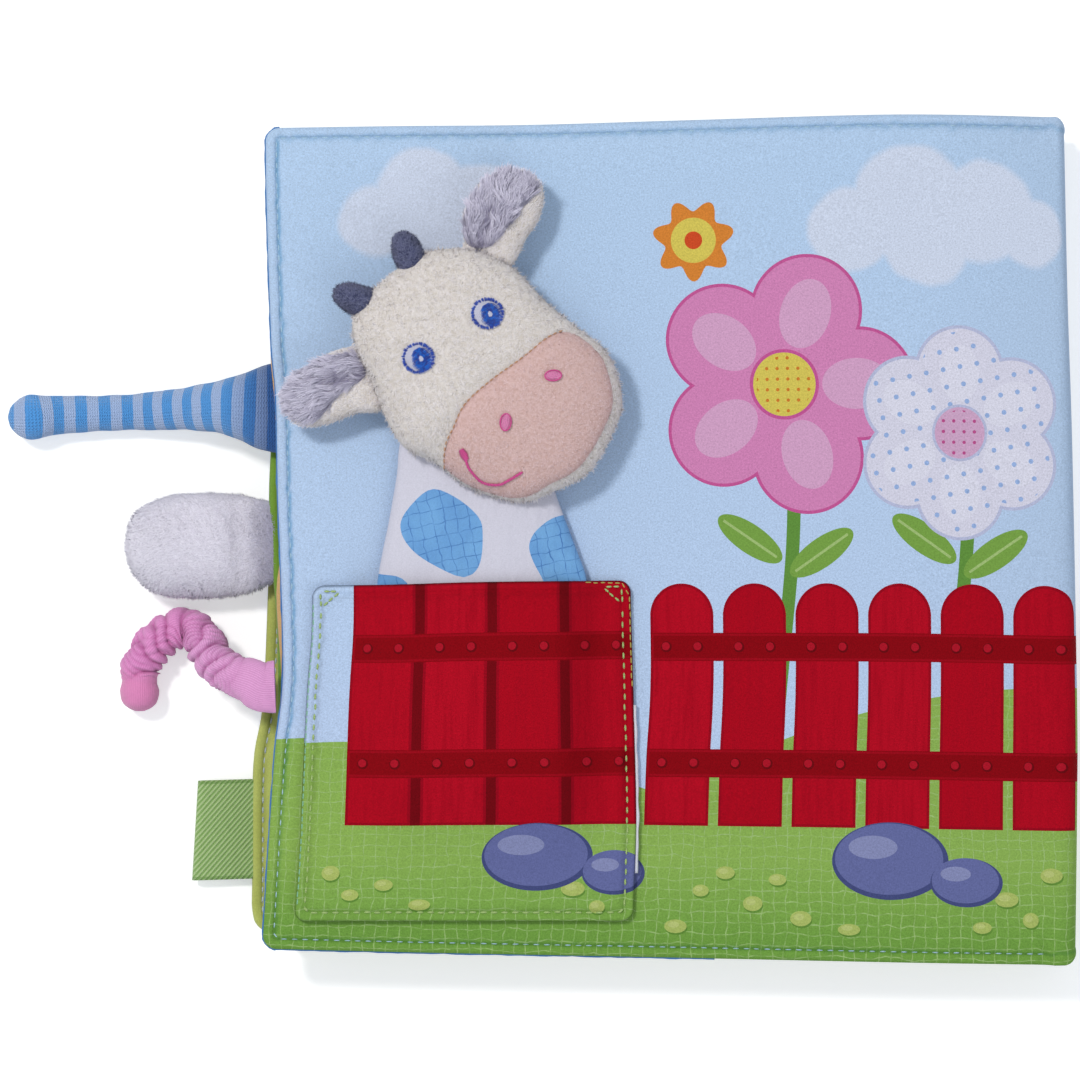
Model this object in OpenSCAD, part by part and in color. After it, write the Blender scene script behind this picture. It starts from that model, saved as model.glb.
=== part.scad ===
// Soft cloth book with a cow finger puppet in a pocket on its back cover.
// Millimetres, +Z up. The origin is the middle of the front cover's underside.
// The book lies on its front cover with the spine towards +X.

/* [Book] */
// Width of the back cover, from its free edge to the hinge at the spine
cover_w = 198; // [190:1:205]
// Height of the book along its spine
book_h = 208; // [200:1:220]
// Thickness of a padded cover
cover_t = 6; // [5.4:0.2:7]
// Thickness of a padded leaf
leaf_t = 6.2; // [5.4:0.2:7]
// How far the hinge lies to the right of the origin
hinge_x = 98; // [94:1:101]
// How far the front cover reaches past the back cover at the free edge
front_overhang = 4; // [2:0.5:5]
// How far the leaves stop short of the back cover's free edge
leaf_inset = 1.5; // [0.5:0.5:2.5]
// Radius of the corners
corner_r = 3.5; // [2:0.5:6]
// Air between layers of cloth that lie on each other
layer_gap = 0.4; // [0.3:0.1:0.8]

/* [Padding] */
// Thickness of the sewn edge outside the topstitch
edge_t = 3.4; // [3:0.1:3.8]
// Distance of the topstitch from the edge
stitch_d = 2.6; // [2.2:0.1:3]
// Thickness of the cloth in the topstitched groove
groove_t = 2; // [1.6:0.1:2.6]
// Distance from the edge at which the padding is full
pad_run = 16; // [13:1:20]

/* [Spine] */
// Thickness of the spine strip at its middle
spine_t = 3.8; // [3:0.2:5]
// Thickness of the spine strip where it meets the covers
spine_lip = 1.2; // [0.8:0.1:1.8]
// Clearance between the spine strip and the covers and leaves
spine_gap = 0.3; // [0.3:0.05:0.5]

/* [Print] */
// Height of a printed colour field above the cloth
print_t = 0.25; // [0.2:0.05:0.3]
// Height of the meadow above the book's bottom edge at the free edge
meadow_h = 54; // [46:1:58]
// Width of one board of the printed fence
board_w = 16; // [12:1:20]
// Gap between two boards
board_gap = 2.4; // [1.6:0.2:4]
// Height of the printed boards
board_h = 60; // [52:1:64]
// Radius of a petal of the large printed flower
petal_r = 14; // [10:1:16]

/* [Pocket] */
// Width of the pocket
pocket_w = 82; // [80:0.5:84]
// Height of the pocket
pocket_h = 84.5; // [82:0.5:87]
// Left edge of the pocket from the back cover's free edge
pocket_in = 9; // [8:0.5:10]
// Bottom edge of the pocket from the book's bottom edge
pocket_up = 8.8; // [7:0.2:10]
// Thickness of the pocket's lined cloth
pocket_t = 1.5; // [1.2:0.1:1.8]
// Width of the flat margin that is sewn down
pocket_margin = 6; // [5:0.5:7]
// Height of the turned hem at the pocket's mouth
pocket_hem = 5; // [4:0.5:7]
// Thickness of the tape that shows in the pocket's side seam
side_label_t = 0.8; // [0.5:0.1:1]
// Length of that tape
side_label_l = 42; // [36:1:48]

/* [Puppet] */
// Height of the finger hollow in the puppet's body
hollow_h = 5.2; // [4.6:0.1:5.8]
// Width of the finger hollow
hollow_w = 30; // [27:0.5:31]
// Thickness of the puppet's cloth
sleeve_t = 1; // [0.8:0.05:1.2]
// Width of the puppet's body under the chin
neck_w = 39; // [38:0.5:42]
// Width of the puppet's body at the pocket's hem
hem_w = 52; // [50:0.5:53]
// Thickness of the flattened end of the puppet's body behind the head
flat_sleeve = 2.4; // [2:0.1:3]
// Rise of the stuffed head above its seam
head_up = 10.5; // [9.5:0.25:11]
// Fall of the stuffed head below its seam
head_down = 7.5; // [7:0.25:8]
// Thickness of the muzzle's cloth
muzzle_t = 0.8; // [0.6:0.1:1]
// Thickness of an ear
ear_t = 6; // [5:0.5:7]
// Thickness of an ear's long pile
lining_t = 0.8; // [0.6:0.1:1.2]
// Radius of a horn at its root
horn_r = 3.7; // [3:0.1:4.2]
// Length of a horn
horn_l = 8.5; // [7:0.5:10]
// Radius of an embroidered eye
eye_r = 4.3; // [3.6:0.1:5]
// Thickness of the embroidery
thread_t = 0.5; // [0.4:0.05:0.7]
// Width of the embroidered mouth's line
mouth_line = 1; // [0.7:0.1:1.4]

/* [Tails and tab] */
// Radius of the striped tail's thin middle
striped_r = 4.5; // [3.5:0.25:5]
// Radius of the striped tail's stuffed end
striped_end_r = 5.8; // [5:0.2:6.4]
// Half width of the striped tail where it is sewn in
striped_root = 11.5; // [9:0.5:13]
// Half thickness of the white plush tail
plush_r = 7; // [6:0.25:8]
// Half width of the white plush tail
plush_half_w = 13.4; // [12:0.2:15]
// Radius of the scrunched tail's tube
curly_r = 4.6; // [4:0.1:5]
// Depth of the scrunched tail's gathers
curly_gather = 0.6; // [0.3:0.05:0.8]
// Lower edge of the woven tab from the book's bottom edge
tab_up = 18; // [12:0.5:60]
// Width of the woven tab
tab_w = 25.3; // [20:0.5:30]
// Length of the tab outside the seam
tab_l = 15.5; // [12:0.5:20]
// Thickness of the folded tab
tab_t = 2.2; // [1.8:0.1:3]
// Thickness of the tab's twill
twill_t = 0.6; // [0.4:0.1:0.8]

/* [Hidden] */
$fn = 64;

// Heights of the layers, from the table up
leaves_z = cover_t + layer_gap;
back_z = leaves_z + 2 * leaf_t + layer_gap;
top_z = back_z + cover_t;
print_top = top_z + print_t;
lower_seam_z = leaves_z + leaf_t / 2;
upper_seam_z = leaves_z + 1.5 * leaf_t;
back_seam_z = back_z + cover_t / 2;

// Left edges of the layers
back_left = hinge_x - cover_w;
front_left = back_left - front_overhang;
leaf_left = back_left + leaf_inset;
leaf_h = book_h - 2;
spine_x = hinge_x + spine_gap;
book_low = -book_h / 2;

// Pieces that rest on cloth lie this far above it
seat = 0.3;
// The tails lie this far above the table
table_gap = 0.15;

// The pocket's edges, and the room in it
pocket_left = back_left + pocket_in;
pocket_right = pocket_left + pocket_w;
pocket_low = book_low + pocket_up;
pocket_top = pocket_low + pocket_h;
pocket_mid = (pocket_left + pocket_right) / 2;
sleeve_h = hollow_h + 2 * sleeve_t;
sleeve_z = print_top + seat;
room = sleeve_h + 2 * seat;
full_room_y = pocket_top - 41;

// The puppet's body, from its open end in the pocket to its flattened end behind the head
body_x = pocket_mid + 2.8;
mouth_y = full_room_y + 2;
flat_half_w = hollow_w / 2 + 0.5;

// The puppet's head: a stuffed pillow that leans to its left
head_c = [body_x + 1.2, pocket_top + 51.7];
head_z = sleeve_z + flat_sleeve + seat + head_down;
chin_y = head_c[1] - 30;

function middle(p) = sum_of(p) / len(p);
function sum_of(p, i = 0) = i == len(p) - 1 ? p[i] : p[i] + sum_of(p, i + 1);
function unit(v) = v / norm(v);

// Smooth curves through control points, with steps points for each of them
function between(a, b, c, d, u) =
    0.5 * (2 * b + (c - a) * u + (2 * a - 5 * b + 4 * c - d) * u * u
    + (3 * b - a - 3 * c + d) * u * u * u);
function smooth_loop(p, steps) = let (n = len(p)) [
    for (i = [0 : n - 1], k = [0 : steps - 1])
        between(p[(i + n - 1) % n], p[i], p[(i + 1) % n], p[(i + 2) % n], k / steps)];
function smooth_path(p, steps) = let (n = len(p)) [
    for (i = [0 : n - 2], k = [0 : steps - 1])
        between(p[max(i - 1, 0)], p[i], p[i + 1], p[min(i + 2, n - 1)], k / steps),
    p[n - 1]];

// A closed skin over rings of equal length, each counter-clockwise seen from the last ring
module skin(rings) {
    n = len(rings[0]);
    last = (len(rings) - 1) * n;
    low = len(rings) * n;
    polyhedron(
        points = [for (r = rings) each r, middle(rings[0]), middle(rings[len(rings) - 1])],
        faces = [
            for (j = [0 : len(rings) - 2], i = [0 : n - 1])
                let (a = j * n + i, b = j * n + (i + 1) % n)
                each [[a, a + n, b + n], [a, b + n, b]],
            for (i = [0 : n - 1]) [i, (i + 1) % n, low],
            for (i = [0 : n - 1]) [last + (i + 1) % n, last + i, low + 1]],
        convexity = 6);
}

// A tube over stations, each of them [x, y, z, half width, half height]
function place(s) = [s[0], s[1], s[2]];
function ring(s, way, n) = let (side = unit([-way[1], way[0], 0]), up = cross(way, side)) [
    for (i = [0 : n - 1]) place(s) + side * s[3] * cos(360 * i / n) + up * s[4] * sin(360 * i / n)];
function tube(stations, n) = let (last = len(stations) - 1) [
    for (i = [0 : last])
        let (way = place(stations[min(i + 1, last)]) - place(stations[max(i - 1, 0)]))
        ring(stations[i], unit(way), n)];

// A mound is a stuffed pillow: [centre, outline, seam height, rise, fall]
PROFILE = [0.14, 0.36, 0.58, 0.76, 0.89, 0.97];
function crown(rho) = pow(max(0, 1 - pow(min(rho, 1), 2.4)), 0.6);
function reach(m, p) = let (
    a = atan2(p[1] - m[0][1], p[0] - m[0][0]),
    table = [for (q = m[1]) [atan2(q[1] - m[0][1], q[0] - m[0][0]), norm(q - m[0])]],
    lower = [for (t = table) if (angle_from(t[0], a) <= 0) [angle_from(t[0], a), t[1]]],
    upper = [for (t = table) if (angle_from(t[0], a) > 0) [angle_from(t[0], a), t[1]]],
    l = nearest(lower),
    u = nearest(upper))
    l[1] + (u[1] - l[1]) * (0 - l[0]) / (u[0] - l[0]);
function angle_from(t, a) = let (d = t - a) d > 180 ? d - 360 : d <= -180 ? d + 360 : d;
function nearest(pairs) = let (best = min([for (q = pairs) abs(q[0])]))
    [for (q = pairs) if (abs(q[0]) == best) q][0];
function share(m, p) = norm(p - m[0]) / reach(m, p);
function above(m, p) = m[2] + m[3] * crown(share(m, p));
function below(m, p) = m[2] - m[4] * crown(share(m, p));
function pulled_in(m, p, most) = let (s = share(m, p)) s > most ? m[0] + (p - m[0]) * most / s : p;
function level(outline, c, k, z) = [for (q = outline) let (f = c + (q - c) * k) [f[0], f[1], z]];
module mound(m) {
    n = len(PROFILE) - 1;
    skin([
        for (k = PROFILE) level(m[1], m[0], k, m[2] - m[4] * crown(k)),
        level(m[1], m[0], 1, m[2]),
        for (i = [n : -1 : 0]) level(m[1], m[0], PROFILE[i], m[2] + m[3] * crown(PROFILE[i]))]);
}

// A thin cloth patch that lies on a mound, gap above it
PATCH_STEPS = [0.2, 0.45, 0.7, 0.88];
function patch_ring(m, outline, c, k, lift) = [
    for (q = outline) let (f = c + (q - c) * k) [f[0], f[1], above(m, f) + lift]];
module patch(m, outline, gap, t) {
    c = middle(outline);
    n = len(PATCH_STEPS) - 1;
    skin([
        for (k = PATCH_STEPS) patch_ring(m, outline, c, k, gap),
        patch_ring(m, outline, c, 1, gap),
        patch_ring(m, outline, c, 1, gap + t),
        for (i = [n : -1 : 0]) patch_ring(m, outline, c, PATCH_STEPS[i], gap + t)]);
}
function oval(c, a, b, turn, n) = [
    for (i = [0 : n - 1]) let (x = a * cos(360 * i / n), y = b * sin(360 * i / n))
        c + [x * cos(turn) - y * sin(turn), x * sin(turn) + y * cos(turn)]];

// Half the section across a padded panel's sewn edge: bead, stitched groove, then padding
function rise(u) = sqrt(1 - pow(1 - u, 2));
function padded(d, full) =
    d <= stitch_d ? groove_t + (edge_t - groove_t) * sqrt(max(0, 1 - pow(2 * d / stitch_d - 1, 2)))
    : groove_t + (full - groove_t) * rise((d - stitch_d) / (pad_run - stitch_d));
BEAD_STOPS = [0, 0.1, 0.27, 0.5, 0.73, 0.9, 1];
PAD_STOPS = [0.04, 0.12, 0.25, 0.45, 0.7, 1];
EDGE_STOPS = [for (s = BEAD_STOPS) s * stitch_d,
              for (s = PAD_STOPS) stitch_d + s * (pad_run - stitch_d)];
function edge_line(full, side) = [for (d = EDGE_STOPS) [d, side * padded(d, full) / 2]];
function reversed(v) = [for (i = [len(v) - 1 : -1 : 0]) v[i]];
function mirrored(v, length) = reversed([for (p = v) [length - p[0], p[1]]]);
module sewn_section(length, full) {
    up = edge_line(full, 1);
    down = edge_line(full, -1);
    polygon(concat(up, mirrored(up, length), reversed(concat(down, mirrored(down, length)))));
}
module spine_section(length, full) {
    end = [[length, full / 2], [length, -full / 2]];
    polygon(concat(edge_line(full, 1), end, reversed(edge_line(full, -1))));
}
module rounded_outline(left, right, height) {
    r = corner_r;
    translate([left + r, -height / 2]) square([right - left - r, height]);
    translate([left, r - height / 2]) square([right - left, height - 2 * r]);
    for (s = [-1, 1]) translate([left + r, s * (height / 2 - r)]) circle(r);
}

// A padded panel that stands on height z, sewn round its free edges and plain at the hinge
module panel(left, right, height, z, full) {
    translate([0, 0, z + full / 2]) intersection() {
        translate([left, height / 2, 0]) rotate([90, 0, 0])
            linear_extrude(height) spine_section(right - left, full);
        translate([left, -height / 2, 0]) rotate([90, 0, 90])
            linear_extrude(right - left) sewn_section(height, full);
        linear_extrude(full, center = true) rounded_outline(left, right, height);
    }
}

// The back cover's print: plain fields of colour, a hair above its cloth
module printed(colour, layers = 1) {
    color(colour) intersection() {
        translate([0, 0, print_t * layers])
            panel(back_left, hinge_x, book_h, back_z, cover_t);
        translate([0, 0, back_seam_z]) linear_extrude(cover_t) children();
    }
}
module hill(x, top, r) {
    translate([x, top - r]) circle(r, $fn = 120);
}
module meadow() {
    low = book_low + meadow_h;
    intersection() {
        translate([back_left, book_low]) square([cover_w, book_h / 2]);
        union() {
            hill(back_left + 20, low, 230);
            hill(hinge_x, low + 14, 190);
        }
    }
}
module cloud(x, y, s) {
    translate([x, y]) scale(s) {
        translate([-15, 0]) circle(9);
        translate([0, 4]) circle(13);
        translate([15, 0]) circle(10);
    }
}
fence_low = book_low + 33;
board_pitch = board_w + board_gap;
fence_left = pocket_right + board_gap;
board_count = floor((hinge_x - fence_left) / board_pitch);
module boards() {
    for (i = [0 : board_count - 1]) translate([fence_left + i * board_pitch, fence_low]) {
        square([board_w, board_h - board_w / 2]);
        translate([board_w / 2, board_h - board_w / 2]) circle(board_w / 2);
    }
}
module rails() {
    for (y = [0.2, 0.68]) translate([fence_left, fence_low + y * board_h])
        square([hinge_x - fence_left, 7]);
}
module flower(x, y, r, petals) {
    translate([x, y]) {
        circle(r);
        for (i = [1 : petals]) rotate(i * 360 / petals) translate([1.35 * r, 0]) circle(r);
    }
}
module back_print() {
    printed("#86B84B") meadow();
    printed("#DDE3F1") {
        cloud(back_left + 42, book_h / 2 - 22, 1);
        cloud(hinge_x - 34, book_h / 2 - 27, 1.2);
    }
    printed("#D975AE") flower(hinge_x - 70, 38, petal_r, 5);
    printed("#E6E2F0") flower(hinge_x - 26, 26, petal_r * 0.8, 6);
    printed("#EFA030") flower(hinge_x - 92, book_h / 2 - 30, petal_r * 0.3, 7);
    printed("#B5001F") boards();
    printed("#8E0012", 2) rails();
}
module back_cover() {
    color("#BCD6EC") panel(back_left, hinge_x, book_h, back_z, cover_t);
    back_print();
}
module front_cover() {
    color("#B5B03C") panel(front_left, hinge_x, book_h, 0, cover_t);
}

// Two padded leaves, joined along their fold at the spine
module pages() {
    color("#F0B878") panel(leaf_left, hinge_x, leaf_h, leaves_z, leaf_t);
    color("#7DB043") panel(leaf_left, hinge_x, leaf_h, leaves_z + leaf_t, leaf_t);
}

// A padded strip that bulges outwards between the two covers, and clears the print of an opened one
module spine() {
    height = top_z - 2 * print_t - 2 * seat;
    bulge = spine_t - spine_lip;
    round = (pow(height / 2, 2) + bulge * bulge) / (2 * bulge);
    color("#BCD6EC") intersection() {
        translate([spine_x, book_h / 2, seat]) rotate([90, 0, 0]) linear_extrude(book_h)
            intersection() {
                square([spine_t, height]);
                translate([spine_t - round, height / 2]) circle(round, $fn = 180);
            }
        linear_extrude(top_z) polygon(concat(
            [[spine_x, book_h / 2], [spine_x, book_low]],
            [for (p = edge_line(2 * spine_t, 1)) [spine_x + p[1], book_low + p[0]]],
            reversed([for (p = edge_line(2 * spine_t, 1)) [spine_x + p[1], -book_low - p[0]]])));
    }
}

// The pocket: lined cloth, sewn down on three sides, arched over the puppet's body
function swell(u) = 0.5 * (1 + cos(180 * min(max(u, 0), 1)));
ARCH_STOPS = [1, 0.9, 0.75, 0.6, 0.45, 0.3, 0.15, 0];
arch_flat = flat_half_w + 1.5;
fall_run = full_room_y - pocket_low - pocket_margin;
function arch_side(s, lift) = let (
    foot = s * (pocket_w / 2 - pocket_margin),
    top = body_x - pocket_mid + s * arch_flat)
    [for (u = ARCH_STOPS) [top + u * (foot - top), lift + room * swell(u)]];
function fall_line(lift) = [for (u = ARCH_STOPS) [full_room_y - u * fall_run, lift + room * swell(u)]];
module across(length) {
    translate([pocket_mid, pocket_top, print_top]) rotate([90, 0, 0]) linear_extrude(length) children();
}
module along(width) {
    translate([pocket_mid - width / 2, 0, print_top]) rotate([90, 0, 90]) linear_extrude(width)
        children();
}
module pocket_outside() {
    half = pocket_w / 2;
    intersection() {
        across(pocket_h) polygon(concat(
            [[-half, 0], [-half, pocket_t]], arch_side(-1, pocket_t),
            reversed(arch_side(1, pocket_t)), [[half, pocket_t], [half, 0]]));
        along(pocket_w) polygon(concat(
            [[pocket_low, 0], [pocket_low, pocket_t]], fall_line(pocket_t),
            [[pocket_top, room + pocket_t], [pocket_top, 0]]));
        linear_extrude(2 * top_z) translate([pocket_mid, pocket_low + pocket_h / 2])
            pocket_outline();
    }
}
module pocket_outline() {
    r = corner_r;
    translate([-pocket_w / 2, r - pocket_h / 2]) square([pocket_w, pocket_h - r]);
    translate([r - pocket_w / 2, -pocket_h / 2]) square([pocket_w - 2 * r, pocket_h]);
    for (s = [-1, 1]) translate([s * (pocket_w / 2 - r), r - pocket_h / 2]) circle(r);
}
module pocket_room() {
    over = 1;
    intersection() {
        translate([0, over, 0]) across(pocket_h) polygon(concat(
            arch_side(-1, 0), reversed(arch_side(1, 0)), [[0, -over]]));
        along(pocket_w) polygon(concat(
            fall_line(0), [[pocket_top + over, room], [pocket_top + over, -over]]));
    }
}
module pocket_hem_bead() {
    half = pocket_w / 2;
    bead = 0.5;
    intersection() {
        across(pocket_hem) polygon(concat(
            [[-half, 0], [-half, pocket_t + bead]], arch_side(-1, pocket_t + bead),
            reversed(arch_side(1, pocket_t + bead)), [[half, pocket_t + bead], [half, 0]]));
        along(pocket_w) translate([pocket_top - pocket_hem, 0])
            square([pocket_hem, room + pocket_t + bead]);
    }
}
module pocket() {
    color("#B5001F") difference() {
        union() {
            pocket_outside();
            pocket_hem_bead();
        }
        pocket_room();
    }
}
module side_label() {
    color("white") translate([pocket_right, pocket_low + 12, print_top])
        cube([side_label_t, side_label_l, pocket_t]);
}

// The puppet's body: a sewn sleeve, open at its lower end, with a hollow for a finger
SIDE_STOPS = [1, 0.86, 0.66, 0.46, 0.26, 0];
function sleeve_height(x, y) = min([sleeve_h,
    for (aside = [-12 : 6 : 12]) below(head_mound, [x + aside, y]) - seat - sleeve_z]);
function sleeve_side(s, w, h) = let (
    flat = min(flat_half_w, w / 2 - 4),
    seam = min(2 * sleeve_t, h))
    [for (u = SIDE_STOPS) [s * (flat + u * (w / 2 - flat)), seam + (h - seam) * swell(u)]];
function sleeve_ring(x, y, w, h) = [
    for (p = concat([[w / 2 - 1, 0]], sleeve_side(1, w, h), reversed(sleeve_side(-1, w, h)),
                    [[1 - w / 2, 0]]))
        [x + p[0], y, sleeve_z + p[1]]];
SLEEVE = [[mouth_y, hem_w - 1], [pocket_top - 10, hem_w], [pocket_top + 2, hem_w],
          [pocket_top + 10, (hem_w + neck_w) / 2], [chin_y, neck_w], [chin_y + 2, neck_w],
          [chin_y + 5, neck_w], [chin_y + 8, neck_w - 1], [chin_y + 12, neck_w - 2],
          [chin_y + 18, neck_w - 4], [chin_y + 26, neck_w - 8], [chin_y + 31, neck_w - 16]];
module cow_body() {
    color("#E8E6EE") difference() {
        skin([for (s = SLEEVE) sleeve_ring(body_x, s[0], s[1], sleeve_height(body_x, s[0]))]);
        translate([body_x, chin_y, sleeve_z + sleeve_h / 2]) rotate([90, 0, 0])
            linear_extrude(chin_y - mouth_y + 1) hollow_section();
    }
}
module hollow_section() {
    r = hollow_h / 2;
    side = hollow_w / 2 - r;
    square([2 * side, hollow_h], center = true);
    for (s = [-1, 1]) translate([s * side, 0]) circle(r);
}

// Outline of the head as [direction, reach] from its middle
HEAD = [[10, 30.5], [28, 25.2], [51, 23.3], [77, 27.4], [98, 31.3], [119, 34], [143, 35.2],
        [156, 36.1], [168, 33.2], [182, 28.9], [205, 27.2], [222, 27.2], [240, 25.4], [262, 28.5],
        [285, 32.6], [300, 33.4], [316, 35], [335, 34.5], [350, 34.2]];
head_points = [for (h = HEAD) head_c + h[1] * [cos(h[0]), sin(h[0])]];
head_outline = smooth_loop(head_points, 2);
head_mound = [head_c, head_outline, head_z, head_up, head_down];
module cow_head() {
    color("#EDE6DA") mound(head_mound);
}

// Everything on the head is placed from its middle
muzzle_gap = 0.4;
MUZZLE = [[-10.7, -22], [-8, -13], [-5.2, -7.5], [1, -1.8], [9, 4], [15.5, 9.2], [21, 10.2],
          [27, 6], [31, 0], [32.5, -8], [29, -16], [23, -23], [15, -29], [7, -32], [-1, -31],
          [-6.5, -27.5]];
muzzle_outline = [for (p = smooth_loop(MUZZLE, 2)) pulled_in(head_mound, head_c + p, 0.95)];
module cow_muzzle() {
    color("#E5C0B5") patch(head_mound, muzzle_outline, muzzle_gap, muzzle_t);
}
module embroidery(colour, outline, lift) {
    color(colour) patch(head_mound, outline, lift, thread_t);
}
on_muzzle = muzzle_gap + muzzle_t + seat;
left_eye_c = head_c + [-16.7, 3.8];
right_eye_c = head_c + [0.3, 14.8];
module left_eye() {
    embroidery("#0B66C3", oval(left_eye_c, eye_r, eye_r * 0.93, 30, 18), seat);
}
module right_eye() {
    embroidery("#0B66C3", oval(right_eye_c, eye_r, eye_r * 0.93, 30, 18), seat);
}
module nostrils() {
    embroidery("#E8479A", oval(head_c + [16.5, -0.5], 2.3, 1.5, 5, 12), on_muzzle);
    embroidery("#E8479A", oval(head_c + [4.8, -12], 2.3, 1.6, 85, 12), on_muzzle);
}
MOUTH = [[-5.6, -19.4], [-4, -23.8], [-1, -26.8], [3, -27.4], [6, -26], [9, -24.2]];
mouth_path = smooth_path(MOUTH, 3);
function mouth_ring(i) = let (
    last = len(mouth_path) - 1,
    way = unit(mouth_path[min(i + 1, last)] - mouth_path[max(i - 1, 0)]),
    aside = [-way[1], way[0]] * mouth_line / 2,
    p = head_c + mouth_path[i],
    z = above(head_mound, p) + on_muzzle,
    slope = (above(head_mound, p + aside) - above(head_mound, p - aside)) / 2)
    [for (e = [[-1, 0], [-1, thread_t], [1, thread_t], [1, 0]])
        [p[0] + e[0] * aside[0], p[1] + e[0] * aside[1], z + e[0] * slope + e[1]]];
module mouth() {
    color("#E8479A") skin([for (i = [0 : len(mouth_path) - 1]) mouth_ring(i)]);
}

// Ears and horns stand at the head's seam and are trimmed to it
module head_trim(colour) {
    grow = 1 + seat / 25;
    color(colour) difference() {
        children();
        linear_extrude(3 * top_z)
            polygon([for (q = head_outline) head_c + (q - head_c) * grow]);
    }
}
RIGHT_EAR = [[-7, 28], [-5.4, 33.5], [-5.6, 40], [-0.8, 48], [7.4, 50.5], [13.6, 47], [13.2, 39.5],
             [9.6, 33.5], [6, 27], [0, 25]];
LEFT_EAR = [[-29, 5.5], [-33.5, 7], [-41, 4.3], [-49, -2], [-50.8, -6.4], [-46.5, -12.3],
            [-39.5, -12], [-32.5, -9.5], [-26, -8.5], [-25, -1]];
ear_z = head_z - 2;
function ear_mound(p, c) = [head_c + c, [for (q = smooth_loop(p, 3)) head_c + q],
                            ear_z, ear_t / 2, ear_t / 2];
right_ear_mound = ear_mound(RIGHT_EAR, middle(RIGHT_EAR));
left_ear_mound = ear_mound(LEFT_EAR, middle(LEFT_EAR));
module right_ear() {
    head_trim("#EDE6DA") mound(right_ear_mound);
}
module left_ear() {
    head_trim("#EDE6DA") mound(left_ear_mound);
}
RIGHT_LINING = [[-2.4, 33.5], [-3, 40], [1, 46], [7.2, 48.4], [11.6, 45.6], [9.6, 39.4], [4.6, 32]];
LEFT_LINING = [[-32, 3], [-40, 2.4], [-47, -3], [-47.4, -7.6], [-43.6, -10], [-38.6, -7.6],
               [-32, -3]];
module ear_lining(m, p) {
    color("#C9C3CE") patch(m, [for (q = smooth_loop(p, 3)) head_c + q], seat, lining_t);
}
module right_ear_lining() {
    ear_lining(right_ear_mound, RIGHT_LINING);
}
module left_ear_lining() {
    ear_lining(left_ear_mound, LEFT_LINING);
}
module horn(direction, way) {
    sunk = 2;
    shape = [for (u = [0 : 0.125 : 1]) [horn_r * sqrt(1 - pow(u, 2.2)), horn_l * u]];
    to = [cos(direction), sin(direction)];
    root = head_c + (reach(head_mound, head_c + to) - sunk) * to;
    head_trim("#5E5E75") translate([root[0], root[1], head_z]) rotate([0, 90, way])
        rotate_extrude() polygon(concat([[0, 0], [horn_r, 0]], [for (p = shape) p + [0, sunk]]));
}
module right_horn() {
    horn(124, 113);
}
module left_horn() {
    horn(149, 160);
}

// Tails: stations of [x, y, z, half width, half height] from the seam outwards
striped_y = book_h * 0.16;
module striped_tail() {
    x = leaf_left - seat;
    low = table_gap + striped_r;
    end = table_gap + striped_end_r;
    z = upper_seam_z;
    color("#5FA3E0") skin(tube(smooth_path([
        [x, striped_y, z, striped_root, 1.2],
        [x - 4, striped_y, z - 0.4, striped_root * 0.93, 2],
        [x - 9, striped_y + 0.2, z - 1.8, striped_root * 0.74, 3.6],
        [x - 15, striped_y + 0.3, z - 4.4, striped_r + 1.9, striped_r],
        [x - 24, striped_y - 0.1, z - 8, striped_r + 0.8, striped_r],
        [x - 34, striped_y - 0.7, low + 0.4, striped_r, striped_r],
        [x - 46, striped_y - 1.2, low, striped_r, striped_r],
        [x - 56, striped_y - 1.6, low + 0.3, striped_r + 0.4, striped_r],
        [x - 62, striped_y - 2.1, end, striped_end_r, striped_end_r],
        [x - 66, striped_y - 2.2, end, striped_end_r * 0.8, striped_end_r * 0.8],
        [x - 68, striped_y - 2.2, end, striped_end_r * 0.5, striped_end_r * 0.5],
        [x - 68.8, striped_y - 2.2, end, striped_end_r * 0.15, striped_end_r * 0.15]], 3), 20));
}
plush_y = -0.3;
module plush_tail() {
    x = leaf_left - seat;
    low = table_gap + plush_r;
    w = plush_half_w;
    color("#DCDAE6") skin(tube(smooth_path([
        [x, plush_y, lower_seam_z, w * 0.72, 1.3],
        [x - 3.4, plush_y, lower_seam_z, w * 0.8, 1.7],
        [x - 6.5, plush_y - 0.5, lower_seam_z - 0.5, w * 0.88, 3.6],
        [x - 11, plush_y - 0.8, low + 0.4, w * 0.96, plush_r * 0.9],
        [x - 18, plush_y - 1.1, low, w, plush_r],
        [x - 27, plush_y - 1.3, low, w * 0.98, plush_r],
        [x - 33, plush_y - 1.5, low, w * 0.82, plush_r * 0.9],
        [x - 36.6, plush_y - 1.7, low, w * 0.58, plush_r * 0.66],
        [x - 38.6, plush_y - 1.8, low, w * 0.24, plush_r * 0.28]], 3), 22));
}
gathers = 15;
function gathered(s, i, n) = [s[0], s[1], s[2], s[3] + curly_gather * cos(360 * gathers * i / n),
                              s[4] + min(curly_gather, s[4] / 4) * cos(360 * gathers * i / n)];
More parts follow.
